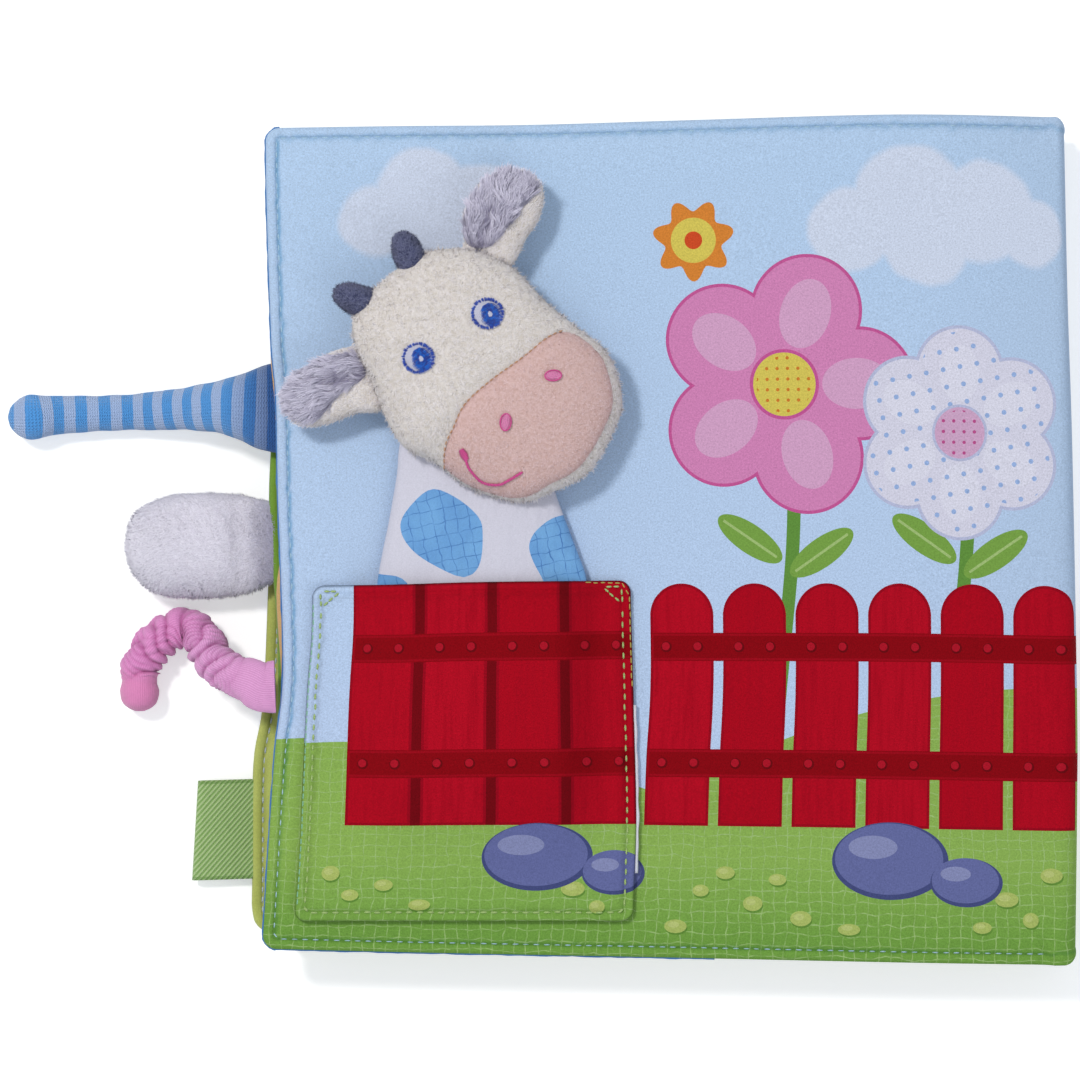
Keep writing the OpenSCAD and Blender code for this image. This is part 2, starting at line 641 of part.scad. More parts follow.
module curly_tail() {
    x = back_left - seat;
    y = book_low * 0.354;
    low = table_gap + curly_r + curly_gather;
    r = curly_r;
    path = smooth_path([
        [x, y, back_seam_z, 6.6, 1.2], [x - 2, y, back_seam_z - 0.2, 6.3, 1.4],
        [x - 5, y + 1.4, back_seam_z - 1.4, 5.8, 2.2],
        [x - 10, y + 3.2, back_seam_z - 5.4, r, r * 0.8], [x - 15, y + 6.6, back_seam_z - 10, r, r],
        [x - 17.6, y + 11.4, low + 3.4, r, r], [x - 21.4, y + 14.8, low + 0.8, r, r],
        [x - 26.4, y + 13.4, low, r, r], [x - 31, y + 9.2, low, r, r], [x - 33.6, y + 3.6, low, r, r],
        [x - 34, y - 3.4, low, r, r * 0.95], [x - 34, y - 5.8, low, r * 0.6, r * 0.6],
        [x - 34, y - 6.6, low, r * 0.2, r * 0.2]], 6);
    color("#E07FBD") skin(tube([for (i = [0 : len(path) - 1]) gathered(path[i], i, len(path))], 12));
}

// The tab: a folded loop of twill, with its ends in the front cover's seam
module label_tab() {
    color("#7CC24A") translate([front_left - tab_l, book_low + tab_up, cover_t / 2])
        rotate([-90, 0, 0])
        linear_extrude(tab_w) difference() {
            tab_section(tab_t / 2);
            tab_section(tab_t / 2 - twill_t);
        }
}
module tab_section(r) {
    translate([tab_t / 2, 0]) circle(r);
    translate([tab_t / 2, -r]) square([tab_l - tab_t / 2, 2 * r]);
}

pages();
spine();
striped_tail();
plush_tail();
back_cover();
pocket();
side_label();
cow_body();
cow_head();
cow_muzzle();
left_ear();
right_ear();
left_ear_lining();
right_ear_lining();
left_horn();
right_horn();
left_eye();
right_eye();
nostrils();
mouth();
curly_tail();
front_cover();
label_tab();
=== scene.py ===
import bmesh
import bpy
import math
import numpy as np
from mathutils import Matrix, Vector


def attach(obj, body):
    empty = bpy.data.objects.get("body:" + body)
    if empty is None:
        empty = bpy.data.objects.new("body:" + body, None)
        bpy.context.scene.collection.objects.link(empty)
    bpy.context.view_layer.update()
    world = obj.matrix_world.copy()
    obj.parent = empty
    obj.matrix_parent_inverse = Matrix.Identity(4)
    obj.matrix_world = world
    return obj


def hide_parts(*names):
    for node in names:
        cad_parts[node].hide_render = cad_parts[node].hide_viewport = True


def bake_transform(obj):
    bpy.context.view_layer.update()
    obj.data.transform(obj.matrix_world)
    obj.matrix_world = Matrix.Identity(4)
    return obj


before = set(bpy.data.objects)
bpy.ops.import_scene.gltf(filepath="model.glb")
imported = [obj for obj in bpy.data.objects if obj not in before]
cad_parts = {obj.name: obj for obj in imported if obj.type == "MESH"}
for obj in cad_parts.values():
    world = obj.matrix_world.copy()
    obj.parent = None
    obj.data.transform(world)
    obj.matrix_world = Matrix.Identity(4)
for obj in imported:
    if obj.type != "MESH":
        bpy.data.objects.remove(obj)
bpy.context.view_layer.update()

MM = 0.001
WELD = 2e-6

# Values repeated from the construction, in millimetres
HINGE = 98.0
BEND = 96.0
BACK_MID, FRONT_MID = 22.2, 3.0
LEAF_MIDS = (9.5, 15.7)
COVER_T, LEAF_T = 6.0, 6.2
COVER_H, LEAF_W, LEAF_H = 208.0, 196.5, 206.0
PRINT_TOP = 25.45
EDGE_T, STITCH_D, GROOVE_T, PAD_RUN = 3.4, 2.6, 2.0, 16.0
FOLD_CORNER = 3.0  # how far the fold's corners are rounded
SKIN = 0.45        # half the thickness of the cloth in the fold
LOWEST = 0.02      # no point of a piece lies under this
SLEEVE_Z, SLEEVE_H, ROOM = 25.75, 7.2, 7.8
POCKET_MID, POCKET_TOP, POCKET_LOW, POCKET_T = -50.0, -10.7, -95.2, 1.5
BODY_X, FULL_ROOM_Y = -47.2, -51.7
HEAD_C = np.array([-46.0, 41.0])
HEAD_Z = 35.95


# Curves
def loop(p, steps):
    """A smooth closed line through the points."""
    p = np.asarray(p, float)
    a, b, c, d = np.roll(p, 1, 0), p, np.roll(p, -1, 0), np.roll(p, -2, 0)
    u = (np.arange(steps) / steps)[None, :, None]
    a, b, c, d = (q[:, None, :] for q in (a, b, c, d))
    q = 0.5 * (2 * b + (c - a) * u + (2 * a - 5 * b + 4 * c - d) * u**2 + (3 * b - a - 3 * c + d) * u**3)
    return q.reshape(-1, p.shape[1])


def path(p, steps):
    """A smooth open line through the points."""
    p = np.asarray(p, float)
    n = len(p)
    out = []
    for i in range(n - 1):
        a, b, c, d = p[max(i - 1, 0)], p[i], p[i + 1], p[min(i + 2, n - 1)]
        for k in range(steps):
            u = k / steps
            out.append(0.5 * (2 * b + (c - a) * u + (2 * a - 5 * b + 4 * c - d) * u**2
                              + (3 * b - a - 3 * c + d) * u**3))
    out.append(p[-1])
    return np.array(out)


def along(p, step, dims=None):
    """Points evenly spaced on a line, measured in its first dims columns."""
    p = np.asarray(p, float)
    s = np.concatenate([[0], np.cumsum(np.linalg.norm(np.diff(p[:, :dims], axis=0), axis=1))])
    t = np.linspace(0, s[-1], max(2, int(round(s[-1] / step)) + 1))
    return np.stack([np.interp(t, s, p[:, k]) for k in range(p.shape[1])], 1), t


def waves(e, seed, pitches=(4.3, 6.7, 10.9, 17.3)):
    """Uneven waves of about one unit, the sum of sines at those pitches."""
    rng = np.random.default_rng(seed)
    out = 0
    for p in pitches:
        out = out + np.sin(2 * np.pi * e / (p * rng.uniform(0.92, 1.08))
                           + rng.uniform(0, 6.28)) * rng.uniform(0.7, 1)
    return out / len(pitches) ** 0.5


def swell(u):
    return 0.5 * (1 + np.cos(np.pi * np.clip(u, 0, 1)))


def dome(t):
    """1 in the middle, falling round to 0 at a distance of 1."""
    return np.sqrt(np.clip(1 - t**2, 0, 1))


def hump(x, at, width):
    return np.exp(-((x - at) / width) ** 2)


def heading(degrees):
    return np.array([math.cos(math.radians(degrees)), math.sin(math.radians(degrees))])


def step01(u):
    u = np.clip(u, 0, 1)
    return u * u * (3 - 2 * u)


def mend(me, weld=0.0):
    """Faces turned outward, after points closer than weld are joined."""
    bm = bmesh.new()
    bm.from_mesh(me)
    if weld:
        bmesh.ops.remove_doubles(bm, verts=bm.verts, dist=weld)
    bmesh.ops.recalc_face_normals(bm, faces=bm.faces)
    bm.to_mesh(me)
    bm.free()


# Meshes: points in millimetres, kept as attributes so that prints and grain follow the cloth
def grid_faces(rows, cols, start=0, flip=False, wrap=False):
    r = np.arange(rows - 1)[:, None]
    c = np.arange(cols if wrap else cols - 1)[None, :]
    a = start + r * cols + c
    b = start + r * cols + (c + 1) % cols
    f = np.stack([a, b, b + cols, a + cols], -1).reshape(-1, 4)
    return f[:, ::-1] if flip else f


def make(name, verts, faces, mats, flat=None, extra=None, weld=False, index=None, normals=None):
    verts = np.array(verts, float)
    verts[:, 2] = np.maximum(verts[:, 2], LOWEST)
    me = bpy.data.meshes.new(name)
    faces = [list(map(int, f)) for f in faces]
    me.from_pydata((verts * MM).tolist(), [], faces)
    flat = verts if flat is None else np.asarray(flat, float)
    if flat.shape[1] == 2:
        flat = np.concatenate([flat, np.zeros((len(flat), 1))], 1)
    for key, values in (("flat", flat), ("rest", verts)):
        me.attributes.new(key, "FLOAT_VECTOR", "POINT").data.foreach_set("vector",
                values.astype(np.float32).ravel())
    for key, values in (extra or {}).items():
        me.attributes.new(key, "FLOAT", "POINT").data.foreach_set("value", np.asarray(values, np.float32))
    for m in mats if isinstance(mats, (list, tuple)) else [mats]:
        me.materials.append(m)
    if index is not None:
        me.polygons.foreach_set("material_index", np.asarray(index, np.int32))
    me.polygons.foreach_set("use_smooth", [True] * len(faces))
    if weld:
        mend(me, WELD)
    me.update()
    if normals is not None:
        me.normals_split_custom_set_from_vertices(np.asarray(normals, float).tolist())
    ob = bpy.data.objects.new(name, me)
    bpy.context.scene.collection.objects.link(ob)
    return ob


def ring_tube(count, around):
    """Faces of count rings of points, closed at both ends."""
    last = (count - 1) * around
    ends = [list(range(around)), [last + i for i in range(around)][::-1]]
    return grid_faces(count, around, wrap=True).tolist() + ends


def shell(upper, lower):
    """Closed skin of two sheets with the same rows and columns; returns points and faces."""
    rows, cols = upper.shape[:2]
    n = rows * cols
    grid = np.arange(n).reshape(rows, cols)
    ring = np.concatenate([grid[0], grid[1:, -1], grid[-1, -2::-1], grid[-2:0:-1, 0]]).tolist()
    walls = [[a, a + n, b + n, b] for a, b in zip(ring, ring[1:] + ring[:1])]
    faces = grid_faces(rows, cols).tolist() + grid_faces(rows, cols, n, flip=True).tolist() + walls
    return np.concatenate([upper.reshape(-1, 3), lower.reshape(-1, 3)]), faces


# Node trees, built with plain arithmetic
def colour(code):
    """Linear values of a colour written as #RRGGBB."""
    c = [int(code[i:i + 2], 16) / 255 for i in (1, 3, 5)]
    return tuple(x / 12.92 if x <= 0.04045 else ((x + 0.055) / 1.055) ** 2.4 for x in c) + (1.0,)


class Val:
    """A socket that takes part in arithmetic."""

    def __init__(self, look, socket):
        self.look, self.socket = look, socket

    def __add__(self, o): return self.look.math("ADD", self, o)
    def __radd__(self, o): return self.look.math("ADD", o, self)
    def __sub__(self, o): return self.look.math("SUBTRACT", self, o)
    def __rsub__(self, o): return self.look.math("SUBTRACT", o, self)
    def __mul__(self, o): return self.look.math("MULTIPLY", self, o)
    def __rmul__(self, o): return self.look.math("MULTIPLY", o, self)
    def __truediv__(self, o): return self.look.math("DIVIDE", self, o)


class Look:
    """A material on the Principled shader; x, y, z are the point's place on the unrolled cloth."""

    def __init__(self, name, rough=0.85, sheen=0.25, specular=0.25):
        self.mat = bpy.data.materials.new(name)
        self.mat.use_nodes = True
        self.tree = self.mat.node_tree
        self.shader = self.tree.nodes["Principled BSDF"]
        self.set("Roughness", rough)
        self.set("Specular IOR Level", specular)
        self.set("Sheen Weight", sheen)
        self.set("Sheen Roughness", 0.5)
        self.flat = self.attribute("flat")
        self.rest = self.attribute("rest")
        self.x, self.y, self.z = self.split(self.flat)

    def set(self, key, value):
        if isinstance(value, Val):
            self.tree.links.new(value.socket, self.shader.inputs[key])
        else:
            self.shader.inputs[key].default_value = value

    def node(self, kind, inputs=(), out=0, **props):
        n = self.tree.nodes.new("ShaderNode" + kind)
        for k, v in props.items():
            setattr(n, k, v)
        for k, v in inputs:
            if isinstance(v, Val):
                self.tree.links.new(v.socket, n.inputs[k])
            else:
                n.inputs[k].default_value = v
        return Val(self, n.outputs[out])

    def attribute(self, name, fac=False):
        return self.node("Attribute", out="Fac" if fac else "Vector", attribute_name=name)

    def split(self, v):
        n = self.tree.nodes.new("ShaderNodeSeparateXYZ")
        self.tree.links.new(v.socket, n.inputs[0])
        return [Val(self, o) for o in n.outputs]

    def join(self, x, y, z=0.0):
        return self.node("CombineXYZ", ((0, x), (1, y), (2, z)))

    def math(self, op, *args, clamp=False):
        return self.node("Math", tuple(enumerate(args)), operation=op, use_clamp=clamp)

    def mix(self, fac, a, b, blend="MIX"):
        a, b = (colour(v) if isinstance(v, str) else v for v in (a, b))
        return self.node("Mix", ((0, fac), (6, a), (7, b)), out=2, data_type="RGBA", blend_type=blend)

    def noise(self, vec, scale, detail=2.0, rough=0.5):
        return self.node("TexNoise", (("Vector", vec), ("Scale", scale), ("Detail", detail), ("Roughness",
                rough)))

    def ramp(self, v, a, b, lo=0.0, hi=1.0):
        return self.node("MapRange", ((0, v), (1, a), (2, b), (3, lo), (4, hi)))

    def less(self, a, b): return self.math("LESS_THAN", a, b)
    def more(self, a, b): return self.math("GREATER_THAN", a, b)
    def low(self, a, b): return self.math("MINIMUM", a, b)
    def high(self, a, b): return self.math("MAXIMUM", a, b)
    def sin(self, a): return self.math("SINE", a)
    def abs(self, a): return self.math("ABSOLUTE", a)
    def fold(self, a, size): return self.math("PINGPONG", a, size)

    def polar(self, x, y):
        """Distance and angle from the middle."""
        return self.math("SQRT", x * x + y * y), self.math("ARCTAN2", y, x)

    def away(self, x, y, x0, y0, sx=1.0, sy=1.0):
        """Distance from a point, in units of sx and sy."""
        a, b = (x - x0), (y - y0)
        if sx != 1.0:
            a = a / sx
        if sy != 1.0:
            b = b / sy
        return self.math("SQRT", a * a + b * b)

    def bump(self, height, depth, strength=1.0, normal=None):
        """depth in millimetres"""
        inputs = [("Strength", strength), ("Distance", depth * MM), ("Height", height)]
        if normal is not None:
            inputs.append(("Normal", normal))
        return self.node("Bump", inputs)

    def finish(self, base, normal=None):
        self.set("Base Color", colour(base) if isinstance(base, str) else base)
        if normal is not None:
            self.set("Normal", normal)
        return self.mat


def cloth_grain(k, base, amount=0.05, depth=0.12, scale=2.2):
    """Brushed woven cloth: a fine heathered grain in colour and height."""
    grain = k.noise(k.rest, scale, 2.0, 0.6)
    fine = k.noise(k.rest, scale * 2.6, 1.0, 0.5)
    g = grain * 0.6 + fine * 0.4
    shade = k.ramp(g, 0.25, 0.75, 1 - amount * 1.6, 1 + amount)
    base = k.mix(1.0, base, k.join(shade, shade, shade), "MULTIPLY")
    return base, k.bump(g, depth)


# Print shared by the back cover, its spine fold and the pocket
BOARD, PITCH, FENCE_LOW, FENCE_TOP = 16.0, 18.4, -71.0, -11.0
FENCE_LEFT = -80.2


def printed_colour(k, fence_left, solid):
    x, y = k.x, k.y
    wob = k.noise(k.join(x, y), 0.09, 2.0)
    sky = k.mix(k.ramp(y, -60, 95), "#B5C8E5", "#B0C8E4")
    # painted shade: the sky darkens towards the spine on the right, where the cover rounds over
    sky = k.mix(k.ramp(x, 60, 100, 0.0, 0.5), sky, "#A6BAD3")
    # clouds
    c = None
    for cx, cy, r in ((-73, 80, 9), (-61, 86, 12), (-47, 84, 10.5), (-60, 78, 9.5),
                      (45, 76, 10.5), (60, 82, 14.5), (78, 80, 12.5), (90, 75, 8), (64, 73, 11)):
        d = k.away(x, y, cx, cy) - r
        c = d if c is None else k.low(c, d)
    sky = k.mix(k.ramp(c + (wob - 0.5) * 3, 0.8, -0.8), sky, "#C9D1E3")
    # a small sun over the meadow
    r, a = k.polar(x - 6.0, y - 74.0)
    ray = k.ramp(k.sin(a * 7.0), -1, 1, 7.2, 10.2)
    out = k.mix(k.less(r, ray), sky, "#D07F34")
    out = k.mix(k.less(r, 5.6), out, "#D0BF57")
    out = k.mix(k.less(r, 2.2), out, "#C94A26")
    # stems and leaves of the two tall flowers
    for fx, top in ((28.0, 38.0), (72.0, 26.0)):
        bend = k.sin((y + 20.0) * 0.05) * 2.2
        out = k.mix(k.less(k.abs(x - fx - bend), 1.7) * k.less(y, top), out, "#5F8C3C")
        for side, ly in ((-1, 0.0), (1, -3.5)):
            lx, lyy = x - (fx + side * 9.0), y - ly
            ca, sa = math.cos(0.6 * side), math.sin(0.6 * side)
            px, py = (lx * ca + lyy * sa) / 9.5, (lyy * ca - lx * sa) / 3.6
            e = k.polar(px, py)[0]
            out = k.mix(k.less(e, 1.0), out, "#759C45")
            out = k.mix(k.less(e, 0.85) * k.less(k.abs(py), 0.09), out, "#9DB873")
    # flowers: n petals folded onto one
    for fx, fy, pr, n, tone, edge, heart in ((28.0, 38.0, 14.0, 5, "#CC80B0", "#BE5590", "#D0BF57"),
                                             (72.0, 26.0, 11.2, 6, "#D0CEDE", "#B2B6D2", "#C8A0BF")):
        r, a = k.polar(x - fx, y - fy)
        w = 2 * math.pi / n
        f = k.fold(a + (2 * math.pi + (0.0 if n == 5 else w / 2)), w / 2)
        qx, qy = r * k.math("COSINE", f), r * k.sin(f)
        d = k.away(qx, qy, 1.35 * pr, 0.0)
        out = k.mix(k.less(k.low(d, r), pr), out, edge)
        out = k.mix(k.less(k.low(d, r + 1.0), pr - 0.8), out, tone)
        inner = k.away(qx, qy, 1.3 * pr, 0.0, 1.0, 0.72)
        out = k.mix(k.less(inner, pr * 0.62), out, k.mix(0.5, tone, "#CFB4CD" if n == 5 else "#DAD9E6"))
        if n == 6:
            gx = k.fold(x + y * 0.2 + 300.0, 2.2)
            gy = k.fold(y - x * 0.2 + 300.0, 2.2)
            out = k.mix(k.less(k.away(gx, gy, 2.2, 2.2), 0.62) * k.less(d, pr - 1.6), out, "#93ABD6")
        out = k.mix(k.less(r, pr * 0.62), out, edge)
        out = k.mix(k.less(r, pr * 0.56), out, heart)
        gx, gy = k.fold(x + 300.0, 1.3), k.fold(y + 300.0, 1.3)
        dots = k.less(k.away(gx, gy, 1.3, 1.3), 0.42) * k.less(r, pr * 0.5)
        out = k.mix(dots, out, "#C9772F" if n == 5 else "#B34C85")
    # meadow
    hill = k.low(k.away(x, y, -80.0, -280.0) - 230.0, k.away(x, y, 98.0, -226.0) - 190.0)
    grass = k.mix(k.ramp(y, -98, -79), "#6F9A42", "#88AB52")
    warp = (k.noise(k.join(x, y), 0.16, 2.0) - 0.5) * 2.2
    g1 = k.fold(x + warp + 400.0, 1.45)
    g2 = k.fold(y + warp * 1.3 + 400.0, 1.35)
    broken = k.ramp(k.noise(k.join(x, y), 0.5, 1.0), 0.36, 0.6, 0.25, 0.9)
    lines = k.less(k.low(g1, g2), 0.13)
    grass = k.mix(lines * broken, grass, "#9AB874")
    rng = np.random.default_rng(12)
    spots = [(-83, -83), (-78, -88.5), (-70, -86), (-61, -91), (-24, -87), (-18, -91.5), (8, -87), (14,
            -82.5),
             (21, -90), (27, -84), (33, -93.5), (84, -88), (90, -93), (95, -82), (78, -95), (2, -96), (45,
                     -96)]
    for sx, sy in spots:
        ax, ay = 2.4 + rng.uniform(-0.5, 0.6), 1.6 + rng.uniform(-0.3, 0.3)
        grass = k.mix(k.less(k.away(x, y, sx + 0.2, sy - 0.5, ax, ay), 1.0), grass, "#5F8738")
        grass = k.mix(k.less(k.away(x, y, sx, sy, ax, ay), 1.0), grass, "#A6B563")
        grass = k.mix(k.less(k.away(x, y, sx - 0.5, sy + 0.4, ax * 0.5, ay * 0.45), 1.0), grass, "#B3BE74")
    out = k.mix(k.less(hill, 0.0), out, grass)
    # fence: rails behind, boards in front, all at one pitch
    side = k.more(x, fence_left)
    across = k.math("WRAP", x - FENCE_LEFT, PITCH, 0.0)
    number = k.math("FLOOR", (x - FENCE_LEFT) / PITCH)
    dx = k.abs(across - BOARD / 2)
    head = k.away(across, y, BOARD / 2, FENCE_TOP - BOARD / 2) - BOARD / 2
    body = k.high(dx - BOARD / 2, k.high(y - (FENCE_TOP - BOARD / 2), FENCE_LOW - y))
    d = k.high(dx - BOARD / 2, FENCE_LOW - y) if solid else k.low(head, body)
    tone = k.mix(k.ramp(k.sin(number * 2.1), -1, 1), "#A6041A", "#B00820")
    grainy = k.noise(k.join(x * 1.4, y * 0.11, number), 0.6, 3.0)
    tone = k.mix(k.ramp(grainy, 0.45, 0.75), tone, "#A0041B")
    tone = k.mix(k.more(d, -0.7), tone, "#94041A")
    if solid:
        back = k.high(k.high(fence_left - x, FENCE_LOW - y), x + 7.6)
        out = k.mix(k.less(back, 0.0), out, "#70040F")
    out = k.mix(k.less(d, 0.0) * side, out, tone)
    for ry in (-55.5, -26.7):
        rail = k.high(k.abs(y - ry) - 3.5, fence_left - x)
        out = k.mix(k.less(rail, 0.0), out, "#86030F")
        out = k.mix(k.less(k.abs(rail + 0.5), 0.25), out, "#970618")
        for nx in (4.0, 12.0):
            n = k.away(across, y, nx, ry)
            out = k.mix(k.less(n, 1.35) * side, out, "#67060E")
            out = k.mix(k.less(k.away(across, y, nx - 0.15, ry + 0.15), 1.0) * side, out, "#A81225")
    # round blue-grey stones at the foot of the fence
    for sx, sy, rx, ry in ((-33, -79, 13.5, 8.5), (-14, -83, 8, 5.5), (55, -79, 14.5, 9.5), (74, -84, 9,
            6)):
        e = k.away(x, y, sx, sy, rx, ry)
        out = k.mix(k.less(e, 1.0), out, "#434A78")
        out = k.mix(k.less(k.away(x, y, sx - 0.3, sy + 0.5, rx * 0.93, ry * 0.92), 1.0), out, "#62689A")
        out = k.mix(k.less(k.away(x, y, sx - rx * 0.3, sy + ry * 0.35, rx * 0.42, ry * 0.3), 1.0), out,
                    "#8388B0")
    return out


def print_look(name, fence_left, solid=False, seam_shade_tint="#B0D2E0"):
    k = Look(name, rough=0.85, sheen=0.0, specular=0.07)
    base = printed_colour(k, fence_left, solid)
    # painted shade: the print is darkened along the stitch groove and, on the pocket, along its very edge;
    # less on the low meadow
    groove = k.attribute("groove", fac=True)
    base = k.mix(groove * k.ramp(k.y, -70, -60, 0.55, 1.0), base, k.mix(1.0, base, seam_shade_tint, "MULTIPLY"))
    base, normal = cloth_grain(k, base, 0.2, 0.13, 2.3)
    ripple = k.noise(k.join(k.x * 0.55, k.y * 0.55, 3.0), 0.5, 3.0, 0.6)
    normal = k.bump(ripple, 0.5, 0.5, normal)
    return k.finish(base, normal)


def plain_cloth(name, base, other, amount=0.13, depth=0.1, scale=2.3):
    k = Look(name, sheen=0.2)
    tone = k.mix(k.ramp(k.noise(k.rest, 0.08, 2.0), 0.35, 0.65), base, other)
    # painted shade: the cloth is darkened along the stitch groove
    groove = k.attribute("groove", fac=True)
    tone = k.mix(groove * 0.35, tone, k.mix(0.6, tone, "#000000"))
    tone, normal = cloth_grain(k, tone, amount, depth, scale)
    return k.finish(tone, normal)


def thread_look(name, base, rough=0.5, specular=0.4, other=None):
    k = Look(name, rough=rough, sheen=0.1, specular=specular)
    twist = k.sin(k.x * 14.0 + k.y * 5.0)
    if other:
        base = k.mix(k.ramp(k.noise(k.rest, 1.6, 1.0), 0.42, 0.6), base, other)
    # painted shade: the thread is darkened in the grooves of its twist
    tone = k.mix(k.ramp(twist, -1, 1, 0.0, 0.35), base, k.mix(0.4, base, "#000000"))
    return k.finish(tone, k.bump(twist, 0.05))


def pile_look(name, dark, light, sheen=0.5, rough=0.9, root=None):
    """Single hairs; tone runs from root to tip, with the roots darker as painted shade."""
    k = Look(name, rough=rough, sheen=sheen, specular=0.1)
    tone = k.attribute("tone", fac=True)
    base = k.mix(tone, dark, light)
    base = k.mix(k.ramp(k.noise(k.rest, 0.35, 2.0), 0.35, 0.65, 0.0, 0.22), base, k.mix(0.5, dark, light))
    # painted shade: root, if given, darkens the hairs towards x = -99, where a tail goes in under the cover
    if root:
        base = k.mix(k.ramp(k.split(k.rest)[0], -107, -99), base, root)
    return k.finish(base)


def plush_look(name, dark, light, depth=0.35, scale=0.9, sheen=0.5, root=None):
    """The matted ground under the hairs."""
    k = Look(name, rough=0.95, sheen=sheen, specular=0.08)
    n = k.noise(k.rest, scale, 3.0, 0.6)
    fine = k.noise(k.rest, scale * 4, 1.0)
    base = k.mix(k.ramp(n, 0.35, 0.65), dark, light)
    base = k.mix(k.ramp(fine, 0.4, 0.7, 0, 0.3), base, dark)
    # painted shade: root, if given, darkens the ground towards x = -99, where a tail goes in under the
    # cover
    if root:
        base = k.mix(k.ramp(k.split(k.rest)[0], -107, -99), base, root)
    return k.finish(base, k.bump(n + fine * 0.4, depth))


# Padded panels
def edge_stops(length, free_end=True, inner=1.8):
    """Places of the rows across a panel, close together where its edge is sewn."""
    e = [0, 0.1, 0.3, 0.6, 0.95, 1.3, 1.65, 1.95, 2.2, 2.4, 2.6, 2.85, 3.2, 3.8, 4.7, 5.9, 7.4, 9.3, 11.5,
         13.8]
    b = [length - q for q in (e if free_end else [0])][::-1]
    n = max(2, int(round((b[0] - e[-1]) / inner)))
    return np.array(e + list(np.linspace(e[-1], b[0], n + 1)[1:-1]) + b)


def curve(points):
    """A smooth function through points given by place and value."""
    p = np.array(sorted(points), float)
    dense = path(p, 8)
    return lambda t: np.interp(t, dense[:, 0], dense[:, 1])


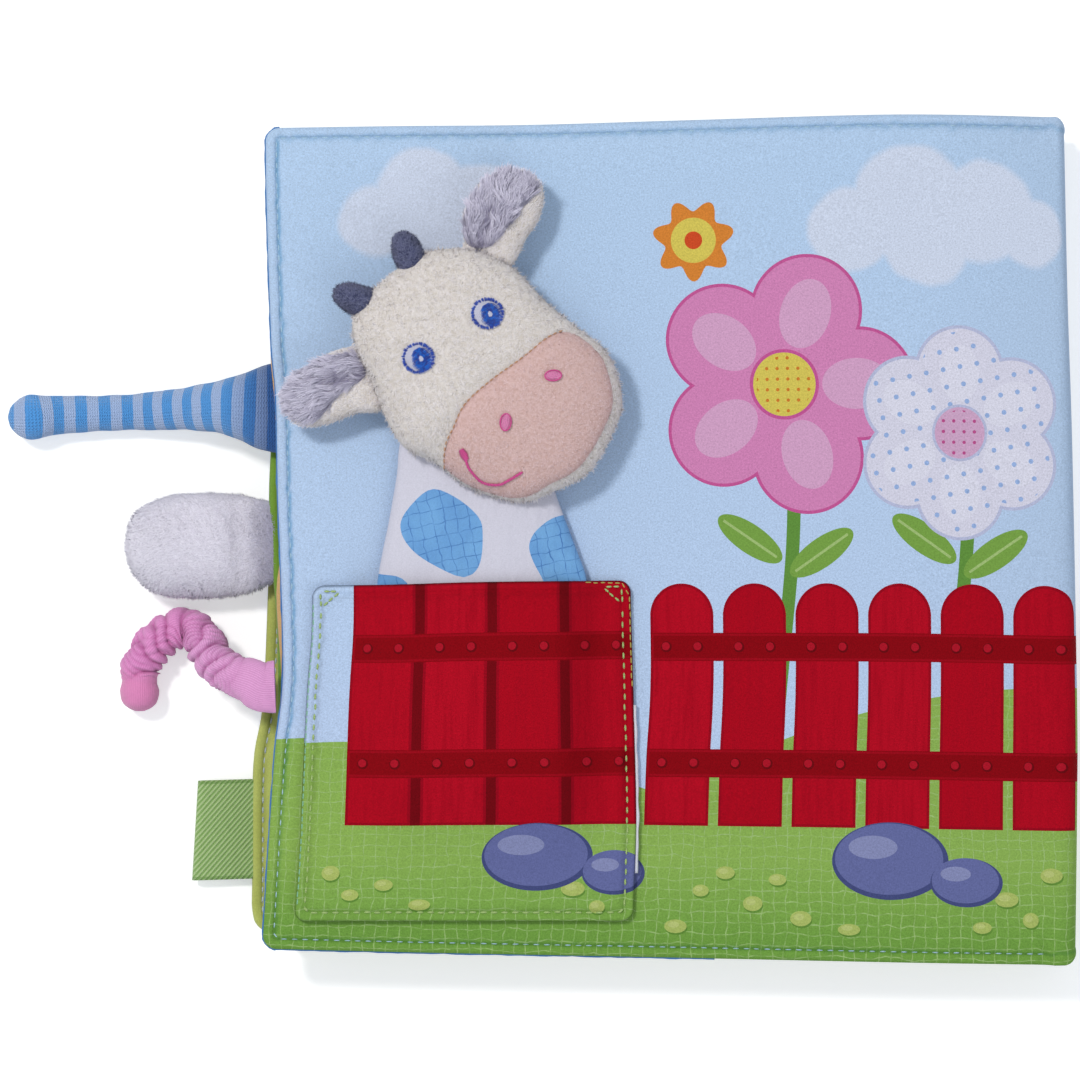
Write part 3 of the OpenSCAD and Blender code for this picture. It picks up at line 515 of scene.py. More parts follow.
class Panel:
    """A padded cloth panel on a warped outline; u runs from the free edge, v from the bottom."""
    # rim: strength of a painted shadow line along the panel's very edge
    rim = 0.0

    def __init__(self, width, height, left, right, low, high, mid, full, seed, radius=3.5, fold=None,
                 outer=1,
                 ripple=0.3, free_right=False):
        self.__dict__.update(W=width, H=height, L=left, R=right, B=low, T=high, mid=mid, full=full,
                             seed=seed,
                             radius=radius, fold=fold, outer=outer, ripple=ripple, free_right=free_right)

    def side(self, u):
        """Distance from the nearest free side."""
        return np.minimum(u, self.W - u) if self.free_right else u

    def xy(self, u, v):
        u, v = np.asarray(u, float), np.asarray(v, float)
        u = np.minimum(u, self.W)
        r, near = self.radius, self.side(u)
        dv = np.minimum(v, self.H - v)
        a, b = (r - near) / r, (r - dv) / r
        corner = (a > 0) & (b > 0)
        ca = a * np.sqrt(np.clip(1 - b * b / 2, 0, 1))
        cb = b * np.sqrt(np.clip(1 - a * a / 2, 0, 1))
        nu, nv = r - r * ca, r - r * cb
        uu = np.where(corner, np.where(near == u, nu, self.W - nu), u)
        vv = np.where(corner, np.where(v <= self.H - v, nv, self.H - nv), v)
        tv = vv - self.H / 2
        x = self.L(tv) + (self.R(tv) - self.L(tv)) * uu / self.W
        y = self.B(uu) + (self.T(uu) - self.B(uu)) * vv / self.H
        return x, y

    def depth(self, u, v):
        u, v = np.asarray(u, float), np.asarray(v, float)
        r, near = self.radius, self.side(u)
        dv = np.minimum(v, self.H - v)
        a, b = (r - near) / r, (r - dv) / r
        rho = np.sqrt(np.clip(a * a + b * b - a * a * b * b, 0, None))
        return np.where((a > 0) & (b > 0), r - r * rho, np.minimum(near, dv))

    def bent(self, u):
        """0 on the panel, up to 1 where the cloth turns into the fold."""
        return 1 - dome(np.clip((u - (self.W - 5)) / 5, 0, 1))

    def half(self, u, v):
        """Half the thickness."""
        d = self.depth(u, v)
        q = np.ones_like(d)
        full = np.full_like(d, self.full)
        if self.fold:
            q = 1 - step01((u - (self.W - 6)) / 6)
            full = self.full - (self.full - 2 * SKIN) * self.bent(u)
        g = SKIN + (GROOVE_T / 2 - SKIN) * q
        e = g + (EDGE_T / 2 - GROOVE_T / 2) * (0.3 + 0.7 * q)
        h = STITCH_D / 2
        rise = dome(1 - np.clip((d - STITCH_D) / (PAD_RUN - STITCH_D), 0, 1))
        sewn = g + (e - g) * dome((d - h) / h)
        return np.where(d < h, e * dome(1 - d / h),
                        np.where(d < STITCH_D, sewn, g + (full / 2 - g) * rise))

    def ripples(self, u, v, side):
        d = self.depth(u, v)
        s = self.seed * 10 + (0 if side > 0 else 5)
        near = lambda e: np.exp(-(np.maximum(e - 2.0, 0) / 4.2) ** 1.3) * step01(d / 1.2)
        k = self.ripple
        out = k * near(u) * waves(v, s + 1) + k * near(v) * waves(u,
                                                                  s + 2) + k * near(self.H - v) * waves(u,
                                                                          s + 3)
        if self.free_right:
            out = out + k * near(self.W - u) * waves(v, s + 4)
        inside = step01((d - 4) / 20)
        return out + 0.28 * inside * (waves(u + 0.6 * v, s + 6, (47, 83))
                                      * waves(v - 0.3 * u, s + 7, (53, 91)))

    def point(self, u, v, side=1, lift=0.0):
        u, v = np.broadcast_arrays(np.asarray(u, float), np.asarray(v, float))
        x, y = self.xy(u, v)
        h = self.half(u, v)
        z_out = self.mid + self.outer * self.full / 2
        outside = side == self.outer
        z = self.mid + side * (h + np.minimum(self.ripples(u, v, side),
                                              0.2 if outside else 0.0)) + side * lift
        if self.fold:
            z = z + (z_out - self.outer * SKIN - self.mid) * self.bent(u)
            s = u - self.W
            f = self.fold
            fx = np.interp(s, f["s"], f["x"])
            span = f["span"](v - self.H / 2)
            over = np.clip((x + fx * span - (BEND + span - FOLD_CORNER)) / FOLD_CORNER, 0, 1)
            drop = FOLD_CORNER * (1 - dome(over))
            y = y - np.sign(v - self.H / 2) * drop * np.exp(-np.minimum(v, self.H - v) / 6.0)
        p = np.stack([x, y, z], -1)
        if self.fold:
            fz = np.interp(s, f["s"], f["z"])
            nx = np.interp(s, f["s"], f["nx"])
            nz = np.interp(s, f["s"], f["nz"])
            off = (h + lift if outside else -h) - SKIN
            q = np.stack([BEND + fx * span + nx * off, y, z_out - self.outer * (fz - nz * off)], -1)
            p = np.where((s > 0)[..., None], q, p)
        return p

    def build(self, name, mats, us, vs, flat_x=-100.0, flat_y=-104.0, inside=None):
        u, v = np.meshgrid(us, vs)
        up, down = self.point(u, v, 1), self.point(u, v, -1)
        pts, faces = shell(up, down)
        flat = np.stack([u + flat_x, v + flat_y, np.zeros_like(u)], -1).reshape(-1, 3)
        flat = np.concatenate([flat, flat])
        d = self.depth(u, v)
        # painted shade: a wavy dark line along the stitch groove, weaker along the top edge where the light
        # falls from above; rim adds a painted shadow line at the very edge
        pitches = (3.1, 5.3, 8.9)
        wavy = 0.32 * (waves(v, self.seed + 40, pitches) * (d == np.minimum(u, d))
                       + waves(u, self.seed + 41, pitches) * (d < u))
        groove = hump(d, STITCH_D + 0.3 + wavy, 0.5)
        groove = (groove * np.where(self.H - v < np.minimum(u, v), 0.45, 1.0)).ravel()
        groove = groove * (1 - 0.6 * self.rim) + self.rim * hump(d.ravel(), 0, 0.45)
        index = None
        if inside is not None:
            n = (len(us) - 1) * (len(vs) - 1)
            index = np.zeros(len(faces), int)
            index[(slice(n, 2 * n) if self.outer > 0 else slice(0, n))] = inside
        return make(name, pts, faces, mats, flat, {"groove": np.concatenate([groove, groove])}, weld=True,
                    index=index)


def fold_profile(span):
    fx = np.array([0, 0.18, 0.36, 0.52, 0.66, 0.78, 0.87, 0.93, 0.97, 0.99, 1.0, 1.0])
    fz = np.array([0, 0.05, 0.2, 0.5, 1.0, 1.75, 2.7, 3.8, 5.2, 7.2, 9.8, 12.6])
    mean = 5.0
    s = np.concatenate([[0], np.cumsum(np.hypot(np.diff(fx * mean), np.diff(fz)))])
    tx, tz = np.gradient(fx * mean, s), np.gradient(fz, s)
    n = np.hypot(tx, tz)
    return {"s": s, "x": fx, "z": fz, "nx": tz / n, "nz": tx / n, "span": span}


# Threads: short stitches, each one a thin bow
def threads(name, lines, radius, mat, bow=0.25, sink=0.12):
    """lines: [n, k, 3] points on the cloth, from one end of each stitch to the other."""
    lines = np.asarray(lines, float)
    n, k, _ = lines.shape
    t = np.linspace(-1, 1, k)
    up = np.array([0.0, 0.0, 1.0])
    centre = lines + up * (bow * (1 - t**2) - sink)[None, :, None]
    way = np.gradient(centre, axis=1)
    way /= np.linalg.norm(way, axis=2, keepdims=True) + 1e-9
    side = np.cross(way, up)
    side /= np.linalg.norm(side, axis=2, keepdims=True) + 1e-9
    top = np.cross(side, way)
    m = 6
    ang = np.arange(m) * 2 * np.pi / m
    rad = radius * np.sqrt(np.clip(1 - np.abs(t) ** 4, 0.06, 1))
    ring = (centre[:, :, None, :] + rad[None, :, None, None]
            * (side[:, :, None, :] * np.cos(ang)[None, None, :, None]
               + top[:, :, None, :] * np.sin(ang)[None, None, :, None]))
    pts = ring.reshape(-1, 3)
    faces = []
    one = grid_faces(k, m, 0, wrap=True)
    for i in range(n):
        faces += (one + i * k * m).tolist()
        faces.append([i * k * m + j for j in range(m)][::-1])
        faces.append([i * k * m + (k - 1) * m + j for j in range(m)])
    s = np.linspace(0, 1, k)
    length = np.linalg.norm(lines[:, -1] - lines[:, 0], axis=1)
    flat = np.zeros((n, k, m, 3))
    flat[..., 0] = (s[None, :] * length[:, None])[..., None]
    flat[..., 1] = (ang * radius)[None, None, :]
    return make(name, pts, faces, mat, flat.reshape(-1, 3))


def stitch_row(panel, uv, pitch, length, side=1, lift=0.0, jitter=0.0):
    """Stitches along a line given in the panel's own coordinates."""
    uv, t = along(uv, 0.15)
    n = int(t[-1] // pitch)
    rng = np.random.default_rng(3)
    a = (t[-1] - n * pitch) / 2 + np.arange(n) * pitch
    s = a[:, None] + np.linspace(0, length, 5)[None, :]
    u, v = np.interp(s, t, uv[:, 0]), np.interp(s, t, uv[:, 1])
    if jitter:
        off = rng.normal(0, jitter, (n, 1))
        u, v = u + off, v + rng.normal(0, jitter, (n, 1))
    return panel.point(u, v, side, lift)


# Closed forms
class Mound:
    """A crowned form on a closed outline, up above z and down below it."""

    def __init__(self, centre, outline, z, up, down, steps=12):
        o = loop(outline, steps) - centre
        a = np.arctan2(o[:, 1], o[:, 0])
        k = np.argsort(a)
        a, r = a[k], np.hypot(o[:, 0], o[:, 1])[k]
        self.a = np.concatenate([a - 2 * np.pi, a, a + 2 * np.pi])
        self.r = np.concatenate([r, r, r])
        self.c, self.z, self.up, self.down = np.asarray(centre, float), z, up, down
        self.detail = lambda x, y, side: 0.0
        self.tilt = lambda x, y: 0.0

    def reach(self, a):
        return np.interp(a, self.a, self.r)

    def rho(self, x, y):
        dx, dy = x - self.c[0], y - self.c[1]
        return np.hypot(dx, dy) / self.reach(np.arctan2(dy, dx))

    def top(self, x, y, side=1):
        rho = np.clip(self.rho(x, y), 0, 1)
        h = self.up if side > 0 else self.down
        return self.z + self.tilt(x, y) + side * h * (1 - rho**2.8) ** 0.55 + self.detail(x, y,
                side) * (1 - rho**6)

    def mesh(self, around=150, rings=40):
        a = np.linspace(0, 2 * np.pi, around, endpoint=False)
        rho = 1 - (1 - np.linspace(0, 1, rings + 1)[1:]) ** 1.9
        rho = rho / rho[-1]
        pts = []
        for side in (1, -1):
            pts.append([[self.c[0], self.c[1], self.top(self.c[0], self.c[1], side)]])
            for q in rho if side > 0 else rho[:-1]:
                x = self.c[0] + q * self.reach(a) * np.cos(a)
                y = self.c[1] + q * self.reach(a) * np.sin(a)
                z = self.top(x, y, side)
                pts.append(np.stack([x, y, z], -1))
        pts = np.concatenate(pts)
        faces = [[0, 1 + i, 1 + (i + 1) % around] for i in range(around)]
        faces += grid_faces(rings, around, 1, flip=True, wrap=True).tolist()
        low = 1 + rings * around
        faces += [[low, low + 1 + (i + 1) % around, low + 1 + i] for i in range(around)]
        faces += grid_faces(rings - 1, around, low + 1, wrap=True).tolist()
        last_low, last_top = low + 1 + (rings - 2) * around, 1 + (rings - 1) * around
        faces += [[last_top + i, last_top + (i + 1) % around, last_low + (i + 1) % around, last_low + i]
                  for i in range(around)]
        return pts, faces


def patch(top, outline, lift, edge=0.1, sink=0.3, roll=0.85):
    """A thin closed cloth patch on a surface z = top(x, y); outline is a dense closed line."""
    rings = (0.15, 0.3, 0.45, 0.6, 0.72, 0.82, 0.9, 0.95, 0.98, 1.0)
    o = np.asarray(outline, float)
    if np.sum(o[:, 0] * np.roll(o[:, 1], -1) - np.roll(o[:, 0], -1) * o[:, 1]) < 0:
        o = o[::-1]
    c = o.mean(0)
    n = len(o)
    pts = [[c[0], c[1], top(c[0], c[1]) + lift]]
    for q in rings:
        f = c + (o - c) * q
        t = max(0.0, (q - roll) / (1 - roll))
        h = edge + (lift - edge) * math.sqrt(max(0.0, 1 - t * t))
        pts += np.stack([f[:, 0], f[:, 1], top(f[:, 0], f[:, 1]) + h], -1).tolist()
    under = np.stack([o[:, 0], o[:, 1], top(o[:, 0], o[:, 1]) - sink], -1)
    pts += under.tolist()
    pts.append([c[0], c[1], top(c[0], c[1]) - sink])
    m = len(rings) + 1
    faces = [[0, 1 + i, 1 + (i + 1) % n] for i in range(n)]
    faces += grid_faces(m, n, 1, flip=True, wrap=True).tolist()
    last = 1 + (m - 1) * n
    faces += [[last + i, last + n, last + (i + 1) % n] for i in range(n)]
    return np.array(pts), faces


def tube(stations, around, step, relief):
    """A closed skin on stations of x, y, z, half width, half height."""
    p = path(stations, 10)
    p, s = along(p, step, 3)
    way = np.gradient(p[:, :3], axis=0)
    way /= np.linalg.norm(way, axis=1, keepdims=True)
    side = np.stack([-way[:, 1], way[:, 0], np.zeros(len(p))], 1)
    side /= np.linalg.norm(side, axis=1, keepdims=True)
    up = np.cross(way, side)
    a = np.arange(around) * 2 * np.pi / around
    extra = relief(s[:, None], a[None, :])
    ca, sa = np.cos(a)[None, :, None], np.sin(a)[None, :, None]
    out = side[:, None] * ca + up[:, None] * sa
    ring = (p[:, None, :3] + side[:, None] * ca * p[:, 3][:, None, None]
            + up[:, None] * sa * p[:, 4][:, None, None]
            + out * extra[..., None])
    n = len(p)
    pts = np.concatenate([ring.reshape(-1, 3), p[:1, :3], p[-1:, :3]])
    faces = grid_faces(n, around, wrap=True).tolist()
    faces += [[(i + 1) % around, i, n * around] for i in range(around)]
    faces += [[(n - 1) * around + i, (n - 1) * around + (i + 1) % around, n * around + 1]
              for i in range(around)]
    r = np.maximum(p[:, 3], p[:, 4])[:, None]
    flat = np.stack([np.broadcast_to(s[:, None], (n, around)), (a[None, :] - np.pi / 2)
                     * np.minimum(r, 7.0), extra], -1).reshape(-1, 3)
    flat = np.concatenate([flat, [[0, 0, 0], [s[-1], 0, 0]]])
    return pts, faces, flat


# Pile: single hairs rooted on a surface
def roots(points, faces, count, seed, keep):
    rng = np.random.default_rng(seed)
    tri = []
    for f in faces:
        tri.append(f[:3])
        if len(f) == 4:
            tri.append([f[0], f[2], f[3]])
    tri = np.array(tri)
    a, b, c = points[tri[:, 0]], points[tri[:, 1]], points[tri[:, 2]]
    n = np.cross(b - a, c - a)
    area = np.linalg.norm(n, axis=1)
    vn = np.zeros_like(points)
    for k in range(3):
        np.add.at(vn, tri[:, k], n)
    vn /= np.linalg.norm(vn, axis=1, keepdims=True) + 1e-12
    pick = rng.choice(len(tri), count, p=area / area.sum())
    u, v = rng.random(count), rng.random(count)
    flip = u + v > 1
    u[flip], v[flip] = 1 - u[flip], 1 - v[flip]
    w = 1 - u - v
    p = a[pick] * w[:, None] + b[pick] * u[:, None] + c[pick] * v[:, None]
    m = vn[tri[pick, 0]] * w[:, None] + vn[tri[pick, 1]] * u[:, None] + vn[tri[pick, 2]] * v[:, None]
    m /= np.linalg.norm(m, axis=1, keepdims=True) + 1e-12
    ok = keep(p, m)
    return p[ok], m[ok]


def pile(name, p, n, lean, length, width, mat, spread=0.35, rise=0.6, curl=0.3, seed=1, clump=0.0, joints=3,
         locks=0, fold_shade=0.0):
    """Hairs of that length; lean is the direction they are brushed in, one vector or one for each hair."""
    rng = np.random.default_rng(seed)
    k = len(p)
    lean = np.broadcast_to(np.asarray(lean, float), (k, 3))
    lean = lean - n * np.sum(lean * n, 1, keepdims=True)
    wild = rng.normal(0, 1, (k, 3)) * spread
    if clump:
        wild = wild + clump * np.stack([np.sin(p[:, 0] * 1.7 + p[:, 1] * 0.9),
                                        np.sin(p[:, 1] * 1.9 - p[:, 0] * 0.8),
                                        0 * p[:, 0]], 1)
    pull, shade = 0.0, rng.uniform(-0.18, 0.18, (k, 1))
    if locks:
        home = rng.integers(0, k, locks)
        near = np.argmin(((p[:, None, :2] - p[home][None, :, :2]) ** 2).sum(-1), 1)
        wild = wild * 0.5 + rng.normal(0, 0.2, (locks, 3))[near]
        pull = (p[home][near] - p) * 0.5
        shade = shade + rng.uniform(-0.2, 0.15, (locks, 1))[near]
    go = n * rise + lean + wild
    go /= np.linalg.norm(go, axis=1, keepdims=True)
    go = go + n * np.maximum(0, 0.08 - np.sum(go * n, 1, keepdims=True))
    bend = rng.normal(0, 1, (k, 3)) * curl
    size = length * rng.uniform(0.65, 1.2, (k, 1))
    side = np.cross(go, n + rng.normal(0, 0.12, (k, 3)))
    side /= np.linalg.norm(side, axis=1, keepdims=True) + 1e-9
    pts, t = [], np.linspace(0, 1, joints)
    for q in t:
        mid = p - n * 0.12 + go * size * q + (bend - n * 0.25) * size * q * q * 0.6 + pull * q * q
        w = width * (1 - 0.75 * q) / 2
        pts += [mid - side * w, mid + side * w]
    pts = np.stack(pts, 1)
    m = pts.shape[1]
    base = np.arange(k)[:, None] * m
    faces = []
    for j in range(joints - 1):
        faces.append(base + np.array([2 * j, 2 * j + 1, 2 * j + 3, 2 * j + 2])[None])
    faces = np.concatenate(faces)
    # painted shade: each hair is darker at its root than at its tip; the last term darkens hairs near a
    # fold
    tone = np.clip(np.repeat(0.25 + 0.75 * t, 2)[None, :] + shade - fold_shade, 0, 1)
    soft = n[:, None, :] + np.cross(side, go)[:, None, :] * 0.3 + rng.normal(0, 0.12, (k, 1, 3))
    soft = np.broadcast_to(soft, (k, m, 3)).reshape(-1, 3)
    soft = soft / (np.linalg.norm(soft, axis=1, keepdims=True) + 1e-9)
    return make(name, pts.reshape(-1, 3), faces, mat, extra={"tone": tone.ravel()}, normals=soft)


def put(ob, body, *nodes, slot=None, fill=None, turned=False):
    """Ties a piece to its body; turned first makes its faces look outward."""
    if turned:
        mend(ob.data)
    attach(ob, body)
    if nodes:
        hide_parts(*nodes)
    return ob


# Camera straight above, lamps and floor
scene = bpy.context.scene
scene.view_settings.view_transform = "Standard"
LENS, SENSOR, HALF_VIEW = 180.0, 36.0, 0.135
cam = bpy.data.objects.new("camera", bpy.data.cameras.new("camera"))
cam.data.lens = LENS
cam.data.sensor_width = SENSOR
cam.data.clip_end = 20.0
cam.location = (-0.03275, 0.0, 0.025 + HALF_VIEW / (SENSOR / 2 / LENS))
scene.collection.objects.link(cam)
scene.camera = cam


def lamp(name, place, size, watts, tint):
    data = bpy.data.lights.new(name, "AREA")
    data.size = size
    data.energy = watts
    data.color = tint
    ob = bpy.data.objects.new(name, data)
    ob.location = place
    ob.rotation_euler = (Vector((-0.02, 0, 0.02)) - Vector(place)).to_track_quat("-Z", "Y").to_euler()
    scene.collection.objects.link(ob)


lamp("key", (-0.66, 0.56, 1.33), 0.2, 12.6, (1.0, 0.975, 0.94))
lamp("fill", (0.75, -0.8, 1.2), 1.2, 5.0, (0.97, 0.985, 1.0))
world = bpy.data.worlds.new("soft")
world.use_nodes = True
for i, value in enumerate(((0.88, 0.94, 1.0, 1), 0.57)):
    world.node_tree.nodes["Background"].inputs[i].default_value = value
scene.world = world


def floor_look():
    m = bpy.data.materials.new("pale_floor")
    m.use_nodes = True
    t = m.node_tree
    shader = t.nodes["Principled BSDF"]
    shader.inputs["Base Color"].default_value = (0.8, 0.8, 0.8, 1)
    shader.inputs["Roughness"].default_value = 0.9
    shader.inputs["Specular IOR Level"].default_value = 0.1
    glow = t.nodes.new("ShaderNodeEmission")
    ray = t.nodes.new("ShaderNodeLightPath")
    any_ray = t.nodes.new("ShaderNodeMath")
    any_ray.operation = "ADD"
    any_ray.use_clamp = True
    t.links.new(ray.outputs["Is Camera Ray"], any_ray.inputs[0])
    t.links.new(ray.outputs["Is Glossy Ray"], any_ray.inputs[1])
    share = t.nodes.new("ShaderNodeMath")
    share.operation = "MULTIPLY"
    share.inputs[1].default_value = 0.42
    t.links.new(any_ray.outputs[0], share.inputs[0])
    t.links.new(share.outputs[0], glow.inputs["Strength"])
    add = t.nodes.new("ShaderNodeAddShader")
    t.links.new(shader.outputs[0], add.inputs[0])
    t.links.new(glow.outputs[0], add.inputs[1])
    t.links.new(add.outputs[0], t.nodes["Material Output"].inputs["Surface"])
    return m


me = bpy.data.meshes.new("floor")
me.from_pydata([(-3, -3, 0), (3, -3, 0), (3, 3, 0), (-3, 3, 0)], [], [(0, 1, 2, 3)])
me.materials.append(floor_look())
floor = bpy.data.objects.new("floor", me)
scene.collection.objects.link(floor)

# Materials
m_back = print_look("printed_back", -6.6)
# the pocket's painted shade along its groove and edge is a darker grey
m_pocket = print_look("printed_pocket", FENCE_LEFT, True, "#A6A6A6")
m_blue = plain_cloth("blue_lining", "#3F7CBC", "#346FB0")
m_olive = plain_cloth("olive_cloth", "#BCC56E", "#B3BB61")
m_sky = plain_cloth("sky_cloth", "#B2C8E4", "#B5C8E5")
m_apricot = plain_cloth("apricot_cloth", "#D2AA74", "#CBA068")
m_green = plain_cloth("leaf_green_cloth", "#779F38", "#6F9733")
m_thread_blue = thread_look("turquoise_thread", "#AFCFE0")
m_thread_pale = thread_look("pale_thread", "#C3CEDA")
m_thread_green = thread_look("yellow_green_thread", "#A9C478")

# Outlines from the free edge, in millimetres
back_left = curve([(-104, -102.3), (-102.5, -102.25), (-77.5, -100.75), (-55, -99.25), (-45, -98), (-37.5,
        -97.3),
                   (-27.5, -97.1), (-5, -97.8), (10, -98.4), (22, -98.6), (36, -98.9), (45, -99.7), (53,
                           -100.2),
                   (85, -101.25), (104, -101.5)])
silhouette = curve([(-104, 101.75), (-65, 102.25), (-40, 102.25), (22.5, 101), (60, 99.75), (104, 98.75)])
back_top = curve([(0, 103.2), (33, 103.7), (66, 104), (106, 105.2), (156, 106.6), (192, 106), (200, 105.4)])
back_low = curve([(0, -102.4), (40, -103.4), (100, -104.6), (160, -105.9), (200, -106.5)])
spine_fold = fold_profile(lambda t: silhouette(t) - BEND)
W = BEND + 100.0
vs = edge_stops(COVER_H)


def cover_stops(inner):
    """Rows across a cover, on through its fold."""
    out = np.concatenate([edge_stops(W, False, inner)[:-1], [W - 4.2, W - 3, W - 2, W - 1, W]])
    return np.concatenate([np.unique(np.round(out, 4)), W + np.linspace(0, spine_fold["s"][-1], 17)[1:]])



back = Panel(W, COVER_H, back_left, lambda t: BEND + 0 * t, back_low, back_top, BACK_MID, COVER_T, 1,
             fold=spine_fold)
back_piece = back.build("back_cover_cloth", [m_back, m_blue], cover_stops(1.8), vs, inside=1)
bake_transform(back_piece)
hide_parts("back_cover")

front_left = curve([(-104, -104.6), (-98, -105.9), (-90, -105.9), (-60, -105.6), (-44, -103.2), (-12,
        -101.8), (20, -101),
                    (60, -100.2), (104, -100.2)])
front_top = curve([(0, 102.2), (100, 104), (200, 105)])
front_low = curve([(0, -99.6), (60, -102.2), (130, -104.4), (200, -105.9)])
front = Panel(W, COVER_H, front_left, lambda t: BEND + 0 * t, front_low, front_top, FRONT_MID, COVER_T, 2,
              fold=spine_fold, outer=-1)
front_piece = front.build("front_cover_cloth", [m_back, m_olive], cover_stops(3.0),
                          edge_stops(COVER_H, inner=3.0),
                          inside=1)
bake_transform(front_piece)
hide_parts("front_cover")

# Leaves
def leaf(name, mid, left, mats, seed):
    p = Panel(LEAF_W, LEAF_H, curve(left), lambda t: HINGE + 0 * t, curve([(0, -101.6), (200, -104.6)]),
              curve([(0, 102), (200, 104.6)]), mid, LEAF_T, seed, ripple=0.22)
    us = np.concatenate([edge_stops(LEAF_W, False, 3.4)[:-1], [194.5, 195.6, 196.2, LEAF_W]])
    ob = p.build(name, mats, np.unique(np.round(us, 4)), edge_stops(LEAF_H, inner=3.4), -98.5, -103.0)
    return p, put(ob, "pages", "pages", slot="leaf_cloth", fill=0.6)


upper, _ = leaf("upper_leaf", LEAF_MIDS[1], [(-104, -99), (-60, -98.6), (-45, -98.4), (-35, -97.9), (-20,
        -98.9), (-11, -99),
                                             (0, -97.5), (14, -98), (22, -98.6), (30, -99.6), (38, -100.1),
                                                     (48, -100.6),
                                             (60, -100.2), (104, -99)], [m_apricot], 3)
lower, _ = leaf("lower_leaf", LEAF_MIDS[0], [(-104, -99.4), (-60, -99.6), (-40, -99), (-20, -99.4), (-5,
        -100.7), (10, -101.3),
                                             (22, -100.9), (34, -100.2), (60, -99.4), (104, -99)],
                                                     [m_green], 4)

# Spine padding, behind the cloth of the folds
def spine():
    ys = np.concatenate([[-103.2, -103.0, -102.5, -101.6, -100, -97],
                         np.linspace(-94, 94, 60), [97, 100, 101.6, 102.5, 103.0, 103.2]])
    k = dome(np.clip((np.abs(ys) - 98) / 5.2, 0, 1)) * 0.97 + 0.03
    a = np.linspace(0, 2 * np.pi, 28, endpoint=False)
    pts = []
    for y, q in zip(ys, k):
        half = float(silhouette(y) - 98.2) / 2 - 0.8
        x = 98.2 + half + half * 0.98 * np.sign(np.cos(a)) * np.abs(np.cos(a)) ** 0.7 * q
        z = 12.4 + 10.6 * np.sign(np.sin(a)) * np.abs(np.sin(a)) ** 0.8 * (0.5 + 0.5 * q)
        pts.append(np.stack([x, y + 0 * x, z], -1))
    pts = np.concatenate(pts)
    ob = make("spine_padding", pts, ring_tube(len(ys), 28), m_sky, extra={"groove": np.zeros(len(pts))},
              weld=True)
    return put(ob, "pages", "spine", slot="printed_cloth", fill=0.6)


spine()


# Topstitching of the covers and leaves
def around_line(d, height, far):
    """A line at a distance d from the bottom, the free edge and the top."""
    return [(far, d), (d + 1.2, d), (d, d + 1.2), (d, height - d - 1.2), (d + 1.2, height - d), (far,
            height - d)]


ob = threads("back_cover_topstitch", stitch_row(back, around_line(2.75, COVER_H, W - 1.5), 2.6, 1.7, 1,
                                                -0.12), 0.2, m_thread_blue, 0.16)
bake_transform(ob)
ob = threads("front_cover_topstitch", stitch_row(front, around_line(2.75, COVER_H, W - 2.5), 2.6, 1.8, 1,
                                                 0.0), 0.24, m_thread_pale, 0.2)
put(ob, "front_cover", slot="olive_cloth")
for name, p in (("upper_leaf_topstitch", upper), ("lower_leaf_topstitch", lower)):
    ob = threads(name, stitch_row(p, around_line(2.7, LEAF_H, 193), 2.6, 1.8, 1, 0.0), 0.22, m_thread_pale,
                 0.16)
    put(ob, "pages", slot="leaf_cloth")


# Lining cloth that shows as a thin line below the sewn edges
def edge_line(name, panel, mat, body, offset, lift, radius):
    far, top = 112.0, panel.H
    arc = np.linspace(3.4, 0, 7)
    uv = ([(q, 0.0) for q in np.arange(far, 3.5, -1.6)] + [(q, 0.0) for q in arc]
          + [(0.0, q) for q in arc[::-1][1:]]
          + [(0.0, q) for q in np.arange(4.6, top - 3.5, 1.6)] + [(0.0, top - q) for q in arc]
          + [(q, top) for q in arc[::-1][1:]])
    uv = np.array(uv)
    t = np.arange(len(uv)) * 1.6
    x, y = panel.xy(uv[:, 0], uv[:, 1])
    c = np.stack([x, y], 1)
    way = np.gradient(c, axis=0)
    way /= np.linalg.norm(way, axis=1, keepdims=True)
    out = np.stack([way[:, 1], -way[:, 0]], 1)
    if out[len(out) // 2, 0] > 0:
        out = -out
    c = c + out * offset
    z = panel.mid + lift
    a = np.arange(10) * 2 * np.pi / 10
    rad = radius * (1 + 0.15 * waves(t, 31))[:, None]
    pts = np.stack([c[:, :1] + out[:, :1] * rad * np.cos(a), c[:, 1:] + out[:, 1:] * rad * np.cos(a),
                    z + rad * 1.4 * np.sin(a)], -1).reshape(-1, 3)
    ob = make(name, pts, ring_tube(len(c), 10), mat, extra={"groove": np.zeros(len(pts))})
    return put(ob, body, turned=True)


edge_line("back_cover_lining_edge", back, m_blue, "back_cover", -0.22, -0.75, 0.58)

# Pocket
pocket_left = curve([(-42.25, -94.6), (-36, -93.7), (-20, -92.7), (13, -91.2), (30, -89.9), (42.25, -89.7)])
pocket_right = curve([(-42.25, -9.3), (-36, -9.2), (-16, -8.6), (12, -9.3), (36, -10), (42.25, -10)])
pocket_low = curve([(0, -95.3), (82, -95.3)])
pocket_top = curve([(0, -11.4), (20, -11.1), (45, -10.4), (82, -10.1)])


